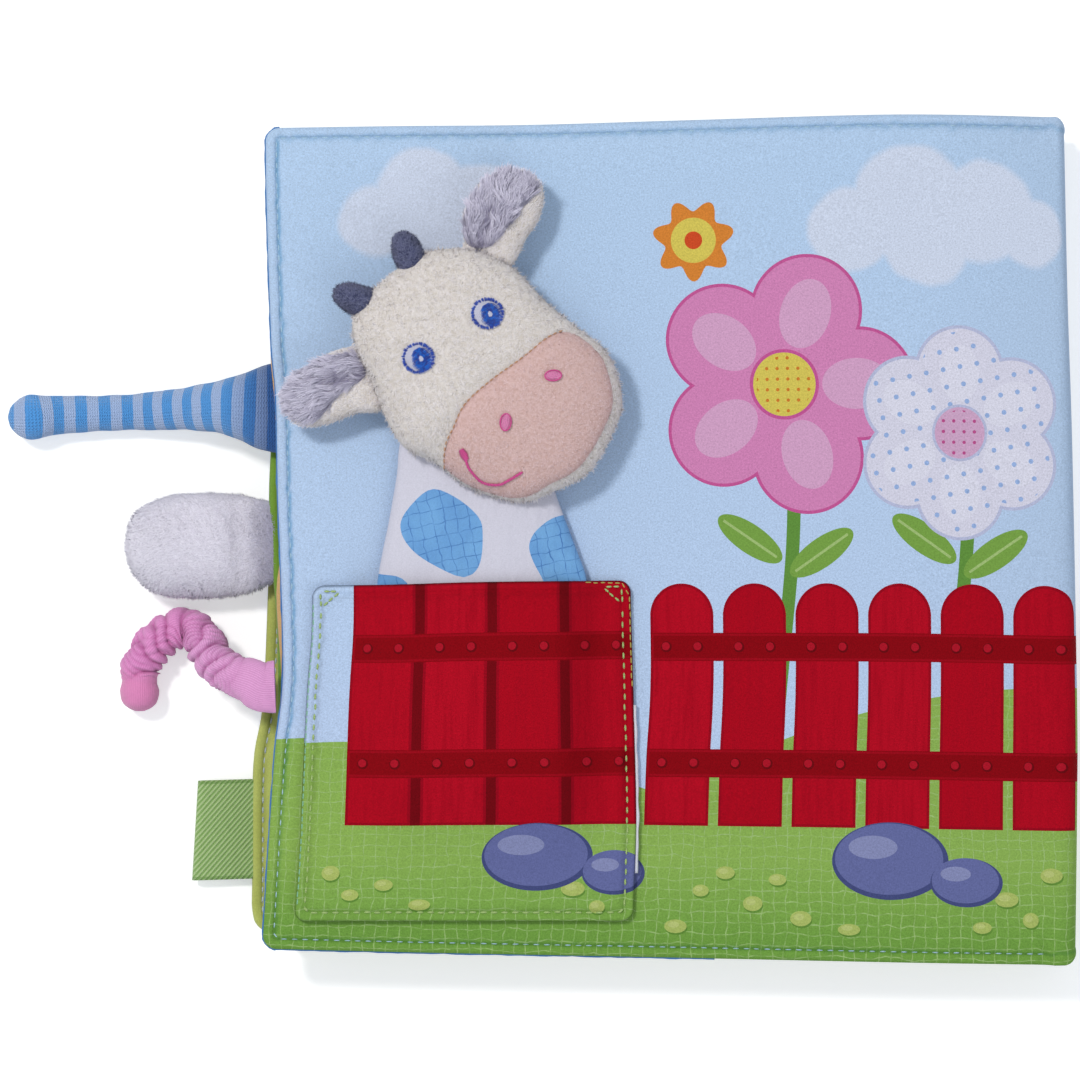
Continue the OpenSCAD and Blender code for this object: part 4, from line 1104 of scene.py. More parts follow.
class Pocket(Panel):
    # a painted shadow line along the pocket's edge
    rim = 1.0

    def lift_at(self, x, y):
        """How far the puppet's body pushes the pocket up."""
        flat, foot = 17.0, np.where(x > BODY_X, -15.5, -85.0)
        u = (np.abs(x - BODY_X) - flat) / (np.abs(foot - BODY_X) - flat)
        w = (FULL_ROOM_Y - y) / (FULL_ROOM_Y - POCKET_LOW - 6)
        crease = 0.16 * waves(x * 0.9 + y * 0.35, 61, (9, 15, 23)) * step01((y + 70) / 40)
        return ROOM * swell(u) * swell(w) + crease * swell(u) * 0.6

    def point(self, u, v, side=1, lift=0.0):
        u, v = np.broadcast_arrays(np.asarray(u, float), np.asarray(v, float))
        x, y = self.xy(u, v)
        d = self.depth(u, v)
        hem = self.H - v
        base = PRINT_TOP + 0.05 + self.lift_at(x, y)
        t = POCKET_T * dome(1 - np.clip(d / 0.45, 0, 1))
        t = t + 0.5 * hump(hem, 2.4, 1.7) + 0.1 * hump(d, 0.9, 0.7) - 0.45 * hump(d, 2.25,
                0.55) * (hem > 1.5)
        t = t + 0.12 * hump(d, 4, 2.6) * (waves(u, 71) + waves(v, 72)) * step01(d / 2)
        return np.stack([x, y, base + t + lift if side > 0 else base], -1)


pocket = Pocket(82.0, 84.5, pocket_left, pocket_right, pocket_low, pocket_top, 0, 0, 5, radius=3.2,
                free_right=True)
pu, pv = edge_stops(82.0, inner=1.2), edge_stops(84.5, inner=1.2)
pocket_piece = pocket.build("pocket_cloth", [m_pocket], pu, pv, -91.0, -95.2)
put(pocket_piece, "back_cover", "pocket", slot="pocket_cloth")
row = [(2.3, 78.8), (2.3, 60), (2.3, 3.5), (3.5, 2.3), (78.5, 2.3), (79.7, 3.5), (79.7, 78.8)]
lines = [stitch_row(pocket, row, 2.55, 1.75, 1, 0.0, 0.04)]
for x, inward in ((2.3, 7.4), (79.7, 74.6)):
    tack = [(x, 78.8), (x, 83.0), (inward, 83.0), (x, 78.8)]
    for a, b in zip(tack[:-1], tack[1:]):
        lines.append(stitch_row(pocket, [a, b], 1.75, 1.5, 1, 0.08, 0.03))
ob = threads("pocket_topstitch", np.concatenate(lines), 0.27, m_thread_green, 0.3)
put(ob, "back_cover", slot="pocket_cloth")
m_edge_green = thread_look("edge_green_thread", "#86BE9C")
m_edge_olive = thread_look("edge_olive_thread", "#B3A64E")
for name, mat, row in (("pocket_left_edging", m_edge_green, [(0.45, 3.5), (0.45, 80.5)]),
                       ("pocket_right_edging", m_edge_olive,
                        [(81.6, 58.0), (81.6, 80.6), (80.0, 83.8), (70.0, 84.1)])):
    ob = threads(name, stitch_row(pocket, row, 1.9, 1.95, 1, -0.1, 0.03), 0.2, mat, 0.12)
    put(ob, "back_cover", slot="pocket_cloth")

# White tape in the pocket's side seam
def side_tape():
    n = 46
    y = np.linspace(-83.2, -41.2, n)[:, None]
    x0 = pocket_right(y - (POCKET_LOW + 42.25)) - 0.15
    w = 0.75 + 0.12 * waves(y, 81, (7, 11))
    a = np.arange(12) * 2 * np.pi / 12
    q = np.where((np.arange(n) % (n - 1) == 0)[:, None], 0.35, 1.0)
    pts = np.stack([x0 + w / 2 + w / 2 * np.cos(a), y + 0 * a, 26.3 + 0.75 * np.sin(a) * (0.4 + 0.6 * q)],
                   -1)
    pts = pts.reshape(-1, 3)
    look = plain_cloth("white_tape_cloth", "#D6D5DF", "#CBCCD8", amount=0.08, depth=0.12, scale=3.5)
    ob = make("side_tape", pts, ring_tube(n, 12), look, extra={"groove": np.zeros(len(pts))})
    return put(ob, "back_cover", "side_label", slot="white_tape", turned=True)


side_tape()

# Materials of the puppet
m_cream = plush_look("cream_ground", "#D0C7BE", "#E4DDDA", depth=0.5, scale=0.8)
m_cream_pile = pile_look("cream_pile", "#D3CAC2", "#F0EBEF", sheen=0.1)
m_peach = plush_look("peach_velour", "#CDA8A0", "#DEBFBC", depth=0.3, scale=1.4, sheen=0.15)
m_peach_pile = pile_look("peach_pile", "#D0ABA3", "#EFD9DE", sheen=0.1)
m_grey = plush_look("grey_ground", "#8F8A9C", "#ABA6B8")
m_grey_pile = pile_look("grey_pile", "#837D98", "#DEDAEA", sheen=0.1, rough=0.6)
m_horn = plush_look("dark_felt", "#323654", "#5F6386", depth=0.4, scale=1.3, sheen=0.2)
m_horn_pile = pile_look("dark_felt_pile", "#40435F", "#7F83A0", sheen=0.05)
# root: painted shade on the plush tail towards its root, under the cover
m_white_plush = plush_look("white_plush_ground", "#CFCAD6", "#DDD9E4", root="#A9A8C2")
m_white_pile = pile_look("white_plush_pile", "#D3CFDC", "#F2EFF8", sheen=0.1, root="#ADACC6")
m_royal = thread_look("royal_blue_thread", "#213CA2", rough=0.4, other="#3058BE")
m_bright = thread_look("bright_blue_thread", "#0B62C8", rough=0.35, other="#1B3692")
m_white_thread = thread_look("white_thread", "#D6D4E4", rough=0.4)
m_pink_thread = thread_look("pink_thread", "#D94F95", rough=0.4, specular=0.4)
m_pale_pink = thread_look("pale_pink_thread", "#E58ABA", rough=0.4, specular=0.4)
m_seam = thread_look("seam_thread", "#CC9C78", rough=0.8)

HEAD = [(10, 30.5), (28, 25.2), (51, 23.3), (77, 27.4), (98, 31.3), (119, 34), (143, 35.2), (156, 36.1),
        (168, 33.2),
        (182, 28.9), (205, 27.2), (222, 27.2), (240, 25.4), (262, 28.5), (285, 32.6), (300, 33.4), (316,
                35), (335, 34.5),
        (350, 34.2)]
head = Mound(HEAD_C, [HEAD_C + r * heading(a) for a, r in HEAD], HEAD_Z, 10.5, 7.5)
EYES = (HEAD_C + np.array([-16.7, 3.8]), HEAD_C + np.array([0.3, 14.8]))
MUZZLE = [[-10.7, -22], [-8, -13], [-5.2, -7.5], [1, -1.8], [9, 4], [15.5, 9.2], [21, 10.2], [27, 6], [31,
        0], [32.5, -8],
          [29, -16], [23, -23], [15, -29], [7, -32], [-1, -31], [-6.5, -27.5]]
SEAM = path(np.array([[-10.5, -24.5], [-10.2, -18], [-8, -13], [-5.2, -7.5], [1, -1.8], [9, 4], [15.5, 9.2],
        [21, 11.5]]) + HEAD_C, 10)


def head_detail(x, y, side):
    out = 0.35 * waves(x + 0.4 * y, 91, (23, 37)) * waves(y - 0.3 * x, 92, (27, 41))
    if side > 0:
        for e in EYES:
            out = out - 0.9 * np.exp(-((x - e[0]) ** 2 + (y - e[1]) ** 2) / 34.0)
        d = np.min(np.hypot(np.asarray(x)[..., None] - SEAM[::3, 0],
                            np.asarray(y)[..., None] - SEAM[::3, 1]), -1)
        out = out - 0.8 * np.exp(-(d / 2.4) ** 2)
    return out


head.detail = head_detail
head.tilt = lambda x, y: -2.6 * step01(((x - HEAD_C[0]) * 0.5 - (y - HEAD_C[1]) * 0.85 + 3) / 31)
muzzle_line = loop(np.array(MUZZLE) + HEAD_C, 10)
rho = head.rho(muzzle_line[:, 0], muzzle_line[:, 1])
turn = np.degrees(np.arctan2(muzzle_line[:, 1] - HEAD_C[1], muzzle_line[:, 0] - HEAD_C[0])) % 360
most = np.interp(turn, [0, 20, 230, 245, 280, 300, 320, 360], [0.93, 0.95, 0.985, 0.985, 0.98, 0.94, 0.925,
                                                               0.93])
muzzle_line = np.where((rho > most)[:, None], HEAD_C + (muzzle_line - HEAD_C) * (most / rho)[:, None],
                       muzzle_line)


def inside(poly, p):
    """True for the points inside a closed line."""
    x, y = p[:, 0], p[:, 1]
    out = np.zeros(len(p), bool)
    x0, y0 = poly[:, 0], poly[:, 1]
    x1, y1 = np.roll(x0, -1), np.roll(y0, -1)
    for a, b, c, d in zip(x0, y0, x1, y1):
        out ^= ((b > y) != (d > y)) & (x < (c - a) * (y - b) / (d - b + 1e-12) + a)
    return out


def gap(poly, p):
    """Signed distance to a closed line, below zero inside."""
    a, b = poly, np.roll(poly, -1, 0)
    ab = b - a
    out = np.full(len(p), 1e9)
    for i in range(len(a)):
        t = np.clip(((p - a[i]) @ ab[i]) / (ab[i] @ ab[i] + 1e-12), 0, 1)
        out = np.minimum(out, np.hypot(*(p - a[i] - t[:, None] * ab[i]).T))
    return np.where(inside(poly, p), -out, out)


# Head
pts, faces = head.mesh(160, 42)
put(make("cow_head_plush", pts, faces, m_cream), "back_cover", "cow_head", slot="cream_plush", fill=0.8,
    turned=True)


def clear_face(p, n):
    q = p[:, :2]
    ok = (n[:, 2] > -0.35)
    for e in EYES:
        ok &= ~((np.hypot(q[:, 0] - e[0], q[:, 1] - e[1]) < 4.3) & (n[:, 2] > 0))
    return ok & ~((gap(muzzle_line, q) < -0.3) & (n[:, 2] > 0))


def shrink(k):
    return max(1, int(k * (1)))


p, n = roots(pts, faces, shrink(74000), 11, clear_face)
lean = np.stack([0.25 + 0.3 * np.sin(p[:, 1] * 0.21 + p[:, 0] * 0.13), -0.45 + 0.3 * np.sin(p[:, 0] * 0.23),
                 0 * p[:, 0]], 1)
put(pile("cow_head_pile", p, n, lean, 0.85 + 0.4 * (n[:, 2:] < 0.4), 0.22, m_cream_pile, 0.45, 0.42, 0.25,
         12, 0.35), "back_cover", slot="cream_plush")

# Muzzle with its seam
pts, faces = patch(head.top, muzzle_line, 1.0, 0.12)
put(make("cow_muzzle_cloth", pts, faces, m_peach), "back_cover", "cow_muzzle", slot="peach_velour",
    turned=True)
p, n = roots(pts, faces, shrink(36000), 21, lambda p, n: n[:, 2] > 0.1)
put(pile("cow_muzzle_pile", p, n, (0.3, -0.5, 0), 0.55, 0.2, m_peach_pile, 0.45, 0.4, 0.3, 22, 0.3, 2),
    "back_cover",
    slot="peach_velour")
seam, t = along(SEAM[2:-2], 0.25)
step_len = 1.5
count = int(t[-1] // step_len)
s = np.arange(count)[:, None] * step_len + np.linspace(0, 1.15, 4)[None]
sx, sy = np.interp(s, t, seam[:, 0]), np.interp(s, t, seam[:, 1])
ob = threads("muzzle_seam_stitches", np.stack([sx, sy, head.top(sx, sy) + 0.62], -1), 0.19, m_seam, 0.1)
put(ob, "back_cover", slot="peach_velour")


# Embroidery: satin stitches side by side
def satin(name, top, outline, turn, pitch, radius, mat, lift):
    o = np.asarray(outline, float)
    c = o.mean(0)
    ca, sa = math.cos(turn), math.sin(turn)
    q = (o - c) @ np.array([[ca, -sa], [sa, ca]])
    rows = np.arange(q[:, 1].min() + pitch / 2, q[:, 1].max(), pitch)
    rng = np.random.default_rng(5)
    out = []
    for y in rows:
        a, b = q, np.roll(q, -1, 0)
        hit = (a[:, 1] > y) != (b[:, 1] > y)
        xs = a[hit, 0] + (y - a[hit, 1]) * (b[hit, 0] - a[hit, 0]) / (b[hit, 1] - a[hit, 1])
        xs = np.sort(xs)
        for k in range(0, len(xs) - 1, 2):
            x = np.linspace(xs[k] + rng.uniform(-0.08, 0.08), xs[k + 1] + rng.uniform(-0.08, 0.08), 7)
            w = np.stack([x, np.full(7, y) + rng.uniform(-0.04, 0.04)],
                         1) @ np.array([[ca, sa], [-sa, ca]]) + c
            out.append(np.stack([w[:, 0], w[:, 1], top(w[:, 0], w[:, 1]) + lift], 1))
    return threads(name, np.array(out), radius, mat, 0.12, 0.05)


def disc(c, a, b, turn=0.0, n=40):
    t = np.linspace(0, 2 * np.pi, n, endpoint=False)
    x, y = a * np.cos(t), b * np.sin(t)
    return np.stack([c[0] + x * math.cos(turn) - y * math.sin(turn),
                     c[1] + x * math.sin(turn) + y * math.cos(turn)], 1)


def eye(side, c, node):
    c = np.asarray(c)
    pts, faces = patch(head.top, disc(c, 4.25, 4.0), 0.45, 0.0)
    put(make(side + "_eye_ground", pts, faces, m_white_thread), "back_cover", node, slot="blue_thread",
        turned=True)
    put(satin(side + "_eye_white", head.top, disc(c, 3.75, 3.55), 1.1, 0.42, 0.26, m_white_thread, 0.42),
        "back_cover", slot="blue_thread")
    iris = c + np.array([0.85, -0.3])
    put(satin(side + "_eye_iris", head.top, disc(iris, 2.85, 2.95), 0.55, 0.34, 0.23, m_bright, 0.6),
        "back_cover", slot="blue_thread")
    put(satin(side + "_eye_glint", head.top, disc(iris + np.array([-0.2, 0.15]), 0.55, 0.8), 1.2, 0.28,
              0.17, m_white_thread, 0.84),
        "back_cover", slot="blue_thread")
    lines = []
    rng = np.random.default_rng(3 if side == "left" else 4)
    for i in range(58):
        a = 2 * np.pi * i / 58 + rng.uniform(-0.04, 0.04)
        r0, r1 = 3.3 + rng.uniform(-0.25, 0.15), 4.05 + rng.uniform(-0.15, 0.3)
        w = c + np.stack([np.linspace(r0, r1, 5) * math.cos(a + 0.12),
                          np.linspace(r0, r1, 5) * math.sin(a + 0.12) * 0.95], 1)
        lines.append(np.stack([w[:, 0], w[:, 1], head.top(w[:, 0], w[:, 1]) + 0.62], 1))
    put(threads(side + "_eye_ring", np.array(lines), 0.19, m_royal, 0.14, 0.05), "back_cover",
        slot="blue_thread")


eye("left", EYES[0], "left_eye")
eye("right", EYES[1], "right_eye")
on_muzzle = lambda x, y: head.top(x, y) + 1.15
for name, c, a, b, turn in (("nostril_right", (16.5, -0.5), 2.05, 1.3, 0.09), ("nostril_left", (4.8, -12.0),
        2.1, 1.35, 1.48)):
    o = disc(HEAD_C + np.array(c), a, b, turn)
    ob = satin(name, on_muzzle, o, turn + 1.25, 0.36, 0.22, m_pale_pink, 0.2)
    rim, t = along(np.concatenate([o, o[:1]]), 0.1)
    q = np.arange(26)[:, None] * t[-1] / 26 + np.linspace(0, 1.1, 4)[None]
    qx, qy = np.interp(q % t[-1], t, rim[:, 0]), np.interp(q % t[-1], t, rim[:, 1])
    side = np.stack([qx, qy, on_muzzle(qx, qy) + 0.3], -1)
    put(threads(name + "_rim", side, 0.19, m_pink_thread, 0.1, 0.05), "back_cover", slot="pink_thread")
    put(ob, "back_cover", *(["nostrils"] if name == "nostril_right" else []), slot="pink_thread")
MOUTH = path(np.array([[-5.6, -19.4], [-5, -21.6], [-4, -23.8], [-1, -26.8], [3, -27.4], [6, -26], [9,
        -24.2]]) + HEAD_C, 12)
m_line, t = along(MOUTH, 0.1)
n_link = int(t[-1] // 0.85)
lines = []
for i in range(n_link):
    s = i * 0.85 + np.linspace(0, 1.35, 5)
    x, y = np.interp(s, t, m_line[:, 0]), np.interp(s, t, m_line[:, 1])
    way = np.array([x[-1] - x[0], y[-1] - y[0]])
    way /= np.linalg.norm(way)
    for side in (-1, 1):
        off = side * 0.24 * np.array([1, 0.9, 0.4, 0.1, -0.3])
        px, py = x - way[1] * off, y + way[0] * off
        lines.append(np.stack([px, py, on_muzzle(px, py) + 0.15], 1))
c = MOUTH[0] + np.array([0.05, -0.6])
for i in range(9):
    r = 1.1 - 0.35 * abs(i - 4) / 4
    q = c + np.linspace(-r, r, 5)[:, None] * np.array([math.cos(0.5), math.sin(0.5)])
    q = q + np.array([-math.sin(0.5), math.cos(0.5)]) * (i - 4) * 0.33
    lines.append(np.stack([q[:, 0], q[:, 1], on_muzzle(q[:, 0], q[:, 1]) + 0.15], 1))
put(threads("mouth_chain", np.array(lines), 0.2, m_pink_thread, 0.14, 0.05), "back_cover", "mouth",
    slot="pink_thread")

# Ears
EAR_Z = HEAD_Z - 2


def ear(side, outline, lining, root, tip, fold, nodes):
    m = Mound(np.mean(outline, 0) + HEAD_C, np.array(outline) + HEAD_C, EAR_Z, 3.0, 3.0)
    root, tip = np.array(root) + HEAD_C, np.array(tip) + HEAD_C
    axis = (tip - root) / np.linalg.norm(tip - root)
    fold = np.array(fold) + HEAD_C

    def dent(x, y, s):
        if s < 0:
            return 0.0
        a = (x - fold[0]) * axis[0] + (y - fold[1]) * axis[1]
        b = -(x - fold[0]) * axis[1] + (y - fold[1]) * axis[0]
        return -1.5 * np.exp(-(b / 1.7) ** 2 - (a / 5.5) ** 2)

    m.detail = dent
    pts, faces = m.mesh(90, 22)
    put(make(side + "_ear_plush", pts, faces, m_cream), "back_cover", nodes[0], slot="cream_plush",
        fill=0.5,
        turned=True)
    line = loop(np.array(lining) + HEAD_C, 8)
    away = lambda p, n: ~((gap(line, p[:, :2]) < 0) & (n[:, 2] > 0)) & (head.rho(p[:, 0], p[:, 1]) > 0.97)
    p, n = roots(pts, faces, shrink(13000), 31, away)
    put(pile(side + "_ear_pile", p, n, np.append(axis, 0) * 0.9, 1.0, 0.26, m_cream_pile, 0.35, 0.4, 0.3,
             32, 0.2), "back_cover",
        slot="cream_plush")
    lp, lf = patch(m.top, line, 0.7, 0.1)
    put(make(side + "_ear_lining_cloth", lp, lf, m_grey), "back_cover", nodes[1], slot="grey_pile",
        turned=True)
    p, n = roots(lp, lf, shrink(12000), 33, lambda p, n: n[:, 2] > 0.15)
    b = -(p[:, 0] - root[0]) * axis[1] + (p[:, 1] - root[1]) * axis[0]
    flow = np.append(axis, 0)[None] * 1.0 + np.stack([-axis[1] * b * 0.05, axis[0] * b * 0.05, 0 * b], 1)
    flow = flow + 0.35 * np.stack([np.sin(p[:, 1] * 0.9 + p[:, 0] * 0.5), np.sin(p[:, 0] * 0.8), 0 * b], 1)
    a = (p[:, 0] - fold[0]) * axis[0] + (p[:, 1] - fold[1]) * axis[1]
    c = -(p[:, 0] - fold[0]) * axis[1] + (p[:, 1] - fold[1]) * axis[0]
    # painted shade in the ear's fold: hairs close to it are darker
    fold_shade = 0.75 * np.exp(-(c / 1.1) ** 2 - (a / 5.0) ** 2)[:, None]
    put(pile(side + "_ear_long_pile", p, n, flow, 3.3, 0.24, m_grey_pile, 0.14, 0.2, 0.1, 34, 0.1, 5, 330,
             fold_shade), "back_cover",
        slot="grey_pile")


RIGHT_EAR = [(-7, 28), (-5.4, 33.5), (-5.6, 40), (-0.8, 48), (7.4, 50.5), (13.6, 47), (13.2, 39.5), (9.6,
        33.5), (6, 27), (0, 25)]
LEFT_EAR = [(-29, 5.5), (-33.5, 7), (-41, 4.3), (-49, -2), (-50.8, -6.4), (-46.5, -12.3), (-39.5, -12),
        (-32.5, -9.5),
            (-26, -8.5), (-25, -1)]
RIGHT_LINING = [(-4.9, 32.5), (-5.1, 40), (-0.9, 47.2), (6.2, 49.8), (12.3, 47.2), (9.6, 42.2), (5.0, 36.3),
        (0.6, 31.6)]
LEFT_LINING = [(-31, 4.3), (-35.9, 5.2), (-42, 3.4), (-47, 0.2), (-49.6, -3.6), (-48.9, -8.4), (-45.2, -11),
        (-41.6, -10.7),
               (-38.4, -7), (-34.7, -3.4), (-30, -0.2)]
ear("right", RIGHT_EAR, RIGHT_LINING, (0, 28), (7, 48), (-0.6, 35.5), ("right_ear", "right_ear_lining"))
ear("left", LEFT_EAR, LEFT_LINING, (-29, 0), (-47, -6.5), (-34.5, -0.6), ("left_ear", "left_ear_lining"))


# Horns
def horn(side, direction, way):
    to = heading(direction)
    base = HEAD_C + (head.reach(math.radians(direction)) - 2.0) * to
    ax = np.append(heading(way), 0.0)
    u = np.concatenate([[-2.0, -1.0], np.linspace(0, 1, 22) ** 0.75 * 7.4])
    r = np.where(u < 0, 3.8, 3.8 * np.sqrt(np.clip(1 - np.clip(u / 7.4, 0, 1) ** 2.5, 0, 1)))
    a = np.linspace(0, 2 * np.pi, 32, endpoint=False)
    across = np.array([-ax[1], ax[0], 0.0])
    foot = np.append(base, HEAD_Z)
    spoke = across * np.cos(a)[:, None] + np.array([0, 0, 1.0]) * np.sin(a)[:, None]
    pts = []
    for q, rr in zip(u, r):
        rr = rr * (1 + 0.03 * np.sin(3 * a + q))
        pts.append(foot + ax * (q + 2.0) + spoke * rr[:, None])
    pts = np.concatenate(pts)
    sides = grid_faces(len(u), 32, wrap=True).tolist()
    ob = make(side + "_horn_felt", pts, sides + [list(range(32))], m_horn, weld=True)
    put(ob, "back_cover", side + "_horn", slot="dark_felt", turned=True)
    p, n = roots(pts, sides, shrink(5000), 41, lambda p, n: head.rho(p[:, 0], p[:, 1]) > 0.96)
    n = np.where(((p - foot - ax * 4) * n).sum(1, keepdims=True) < 0, -n, n)
    put(pile(side + "_horn_fuzz", p, n, ax * 0.6, 0.7, 0.2, m_horn_pile, 0.6, 0.6, 0.4, 42, 0.0, 2),
        "back_cover", slot="dark_felt")


horn("right", 124, 113)
horn("left", 149, 160)

# Puppet's body with its printed spots
SPOTS = [[(-60.25, 12.5), (-66.5, 6.5), (-67.25, 1.75), (-63.75, -3.25), (-56.75, -7.5), (-51.25, -9.25),
        (-47.75, -6),
          (-47, 1.75), (-48.25, 6), (-54, 10.75)],
         [(-27, 6.2), (-33, 3), (-35.4, -1), (-34.6, -5), (-32, -10), (-29.6, -16), (-14, -18), (-14, 6)],
         [(-80, -8.6), (-71, -8.7), (-67.5, -9.4), (-65.5, -11.5), (-66, -17), (-80, -18)]]


def body_look():
    k = Look("puppet_cotton", rough=0.85, sheen=0.15, specular=0.2)
    ink = k.attribute("ink", fac=True)
    c, s = math.cos(0.22), math.sin(0.22)
    x, y = k.split(k.rest)[:2]
    a, b = x * c + y * s, y * c - x * s
    w = (k.noise(k.rest, 0.22, 2.0) - 0.5) * 2.4
    d1 = k.fold(a + w + 300.0, 1.5)
    d2 = k.fold(b + w * 0.8 + 300.0, 1.6)
    broken = k.ramp(k.noise(k.rest, 0.45, 2.0), 0.35, 0.62, 0.35, 0.95)
    lines = k.less(k.low(d1, d2), 0.12)
    spot = k.mix(k.ramp(k.noise(k.rest, 0.12, 2.0), 0.35, 0.65), "#72A6D7", "#6699CE")
    spot = k.mix(lines * broken, spot, "#4878B4")
    base = k.mix(k.less(ink, 0.0), "#CBC9D6", spot)
    base, normal = cloth_grain(k, base, 0.09, 0.07, 2.6)
    fold = k.noise(k.join(x * 0.5, y * 0.16), 0.55, 2.0)
    return k.finish(base, k.bump(fold, 1.1, 0.6, normal))


def puppet_body():
    left = curve([(-50, -72.9), (-20, -73.6), (-11.25, -73.4), (-3.25, -72.1), (4, -70.6), (10.75, -69.4),
            (17, -68.4), (23, -67.9),
                  (33, -66), (42, -62)])
    right = curve([(-50, -21.8), (-20, -21), (-10, -21.1), (-2.5, -23.6), (6.5, -27), (12.25, -29), (18,
            -30), (24, -31),
                   (33, -33), (42, -38)])
    ys = np.concatenate([[-49.7, -49.5, -49], np.arange(-48, 41.6, 0.85), [42]])
    m = 72
    a = np.arange(m) * 2 * np.pi / m
    pts, flat = [], []
    for y in ys:
        l, r = float(left(y)), float(right(y))
        c, w = (l + r) / 2, (r - l) / 2
        xi = np.cos(a)
        x = c + w * xi
        under = np.where(head.rho(x, np.full(m, y)) < 1, head.top(x, np.full(m, y), -1) - 0.25 - SLEEVE_Z,
                         99.0)
        fade = 0.25 + 0.75 * min(1.0, (y + 49.9) / 1.2)
        full = SLEEVE_H * (0.93 + 0.07 * math.cos(y * 0.09))
        up = 2.0 + (full - 2.0) * np.clip(np.sin(a), 0, 1) ** 0.75
        dn = 2.0 * (1 - np.clip(-np.sin(a), 0, 1) ** 0.6)
        z = np.where(np.sin(a) >= 0, up, dn)
        pull = 0.25 * waves(x * 1.1 + 0.2 * y, 95, (13, 19, 29)) * np.clip(np.sin(a), 0, 1)
        z = np.where(np.sin(a) >= 0, z + pull - 0.25, z)
        z = np.minimum(z, np.maximum(under, 0.15 * (np.sin(a) >= 0)))
        z = 1.1 + (z - 1.1) * fade if y < -48.5 else z
        pts.append(np.stack([x, np.full(m, y), SLEEVE_Z + z], 1))
    pts = np.concatenate(pts)
    ink = np.min([gap(loop(s, 8), pts[:, :2]) for s in SPOTS], 0)
    ob = make("puppet_body_cloth", pts, ring_tube(len(ys), m), body_look(), extra={"ink": ink})
    put(ob, "back_cover", "cow_body", slot="sleeve_cloth", fill=0.3, turned=True)


puppet_body()


# Striped tail
def striped_look():
    k = Look("striped_knit", rough=0.9, sheen=0.3, specular=0.15)
    s, a = k.x, k.y
    bow = k.abs(a) * 0.05
    wob = (k.noise(k.join(s * 0.3, a), 0.3, 1.0) - 0.5) * 0.4
    h = (s + wob - bow) * 0.904 - 2.4
    band = h * 0.4153 - h * h * 0.000557
    blue = k.more(k.math("WRAP", band, 2.0, 0.0), 1.0)
    base = k.mix(blue, "#A7BEE6", "#529CE2")
    # painted shade: the stripes darken towards the root, under the cover
    base = k.mix(k.ramp(s, 14, 3), base, k.mix(blue, "#6982B1", "#2F5FA2"))
    col = k.fold(a + 90.0, 0.42)
    row = k.math("WRAP", s + col * 0.8, 0.62, 0.0)
    loopy = k.sin(row * 10.13) * 0.5 + k.ramp(col, 0.0, 0.42, 0, 0.8)
    # painted shade between the knit loops
    base = k.mix(k.ramp(loopy, 0.6, -0.4, 0.0, 0.5), base, k.mix(0.5, base, "#2A4C86"))
    base, normal = cloth_grain(k, base, 0.05, 0.1, 2.2)
    return k.finish(base, k.bump(loopy, 0.22, 0.9, normal))


def tail_relief(s, a):
    return 0.12 * waves(s + 2.0 * np.sin(a), 101, (7, 11, 17)) * (1 + 0 * a)


SEAM_X = -98.8
STRIPED = [(0.4, 33.3, 15.7, 11.4, 1.2), (-4, 33.3, 15.3, 10.7, 2), (-9, 33.5, 13.9, 8.5, 3.6), (-15, 33.6,
        11.3, 6.6, 4.5),
           (-24, 33.2, 7.7, 5.4, 4.5), (-34, 32.6, 5.05, 4.7, 4.5), (-46, 32.1, 4.65, 4.5, 4.5), (-56, 31.7,
                   4.95, 4.9, 4.9),
           (-62, 31.2, 5.95, 5.7, 5.7), (-65.2, 31.1, 5.95, 5.0, 5.0), (-67.3, 31.1, 5.95, 3.6, 3.6),
                   (-68.4, 31.1, 5.95, 2.1, 2.1),
           (-68.8, 31.1, 5.95, 0.5, 0.5)]
pts, faces, flat = tube([(SEAM_X + a, b, c, d, e) for a, b, c, d, e in STRIPED], 44, 0.5, tail_relief)
ob = make("striped_tail_knit", pts, faces, striped_look(), flat)
put(ob, "pages", "striped_tail", slot="striped_knit", fill=0.8, turned=True)

# Plush tail
PLUSH = [(0.4, -0.3, 9.5, 9.7, 1.3), (-3.4, -0.5, 9.5, 10.7, 1.9), (-6.5, -0.8, 9, 11.8, 3.6), (-11, -1.1,
        7.55, 12.7, 6.2),
         (-18, -1.4, 7.15, 13.2, 6.8), (-27, -1.6, 7.15, 12.8, 6.8), (-33, -1.8, 7.15, 10.7, 6.1), (-36.4,
                 -2, 7.15, 7.6, 4.5),
         (-38, -2.1, 7.15, 4.2, 2.6), (-38.6, -2.1, 7.15, 1.5, 1)]
pts, faces, flat = tube([(SEAM_X + a, b, c, d, e) for a, b, c, d, e in PLUSH], 60, 0.8,
                        lambda s, a: 0.15 * waves(s + 5 * np.sin(a), 102, (13, 21)) * np.sin(a)
                        * step01(s / 8))
ob = make("plush_tail_ground", pts, faces, m_white_plush, flat)
put(ob, "pages", "plush_tail", slot="white_plush", fill=0.85, turned=True)
p, n = roots(pts, faces, shrink(50000), 51, lambda p, n: (n[:, 2] > -0.6) & (p[:, 0] < -99.4))
lean = np.stack([-0.75 + 0.25 * np.sin(p[:, 1] * 0.4), 0.35 * np.sin(p[:, 0] * 0.31 + 1), 0 * p[:, 0]], 1)
put(pile("plush_tail_pile", p, n, lean, 1.1, 0.22, m_white_pile, 0.3, 0.4, 0.25, 52, 0.15), "pages",
    slot="white_plush")


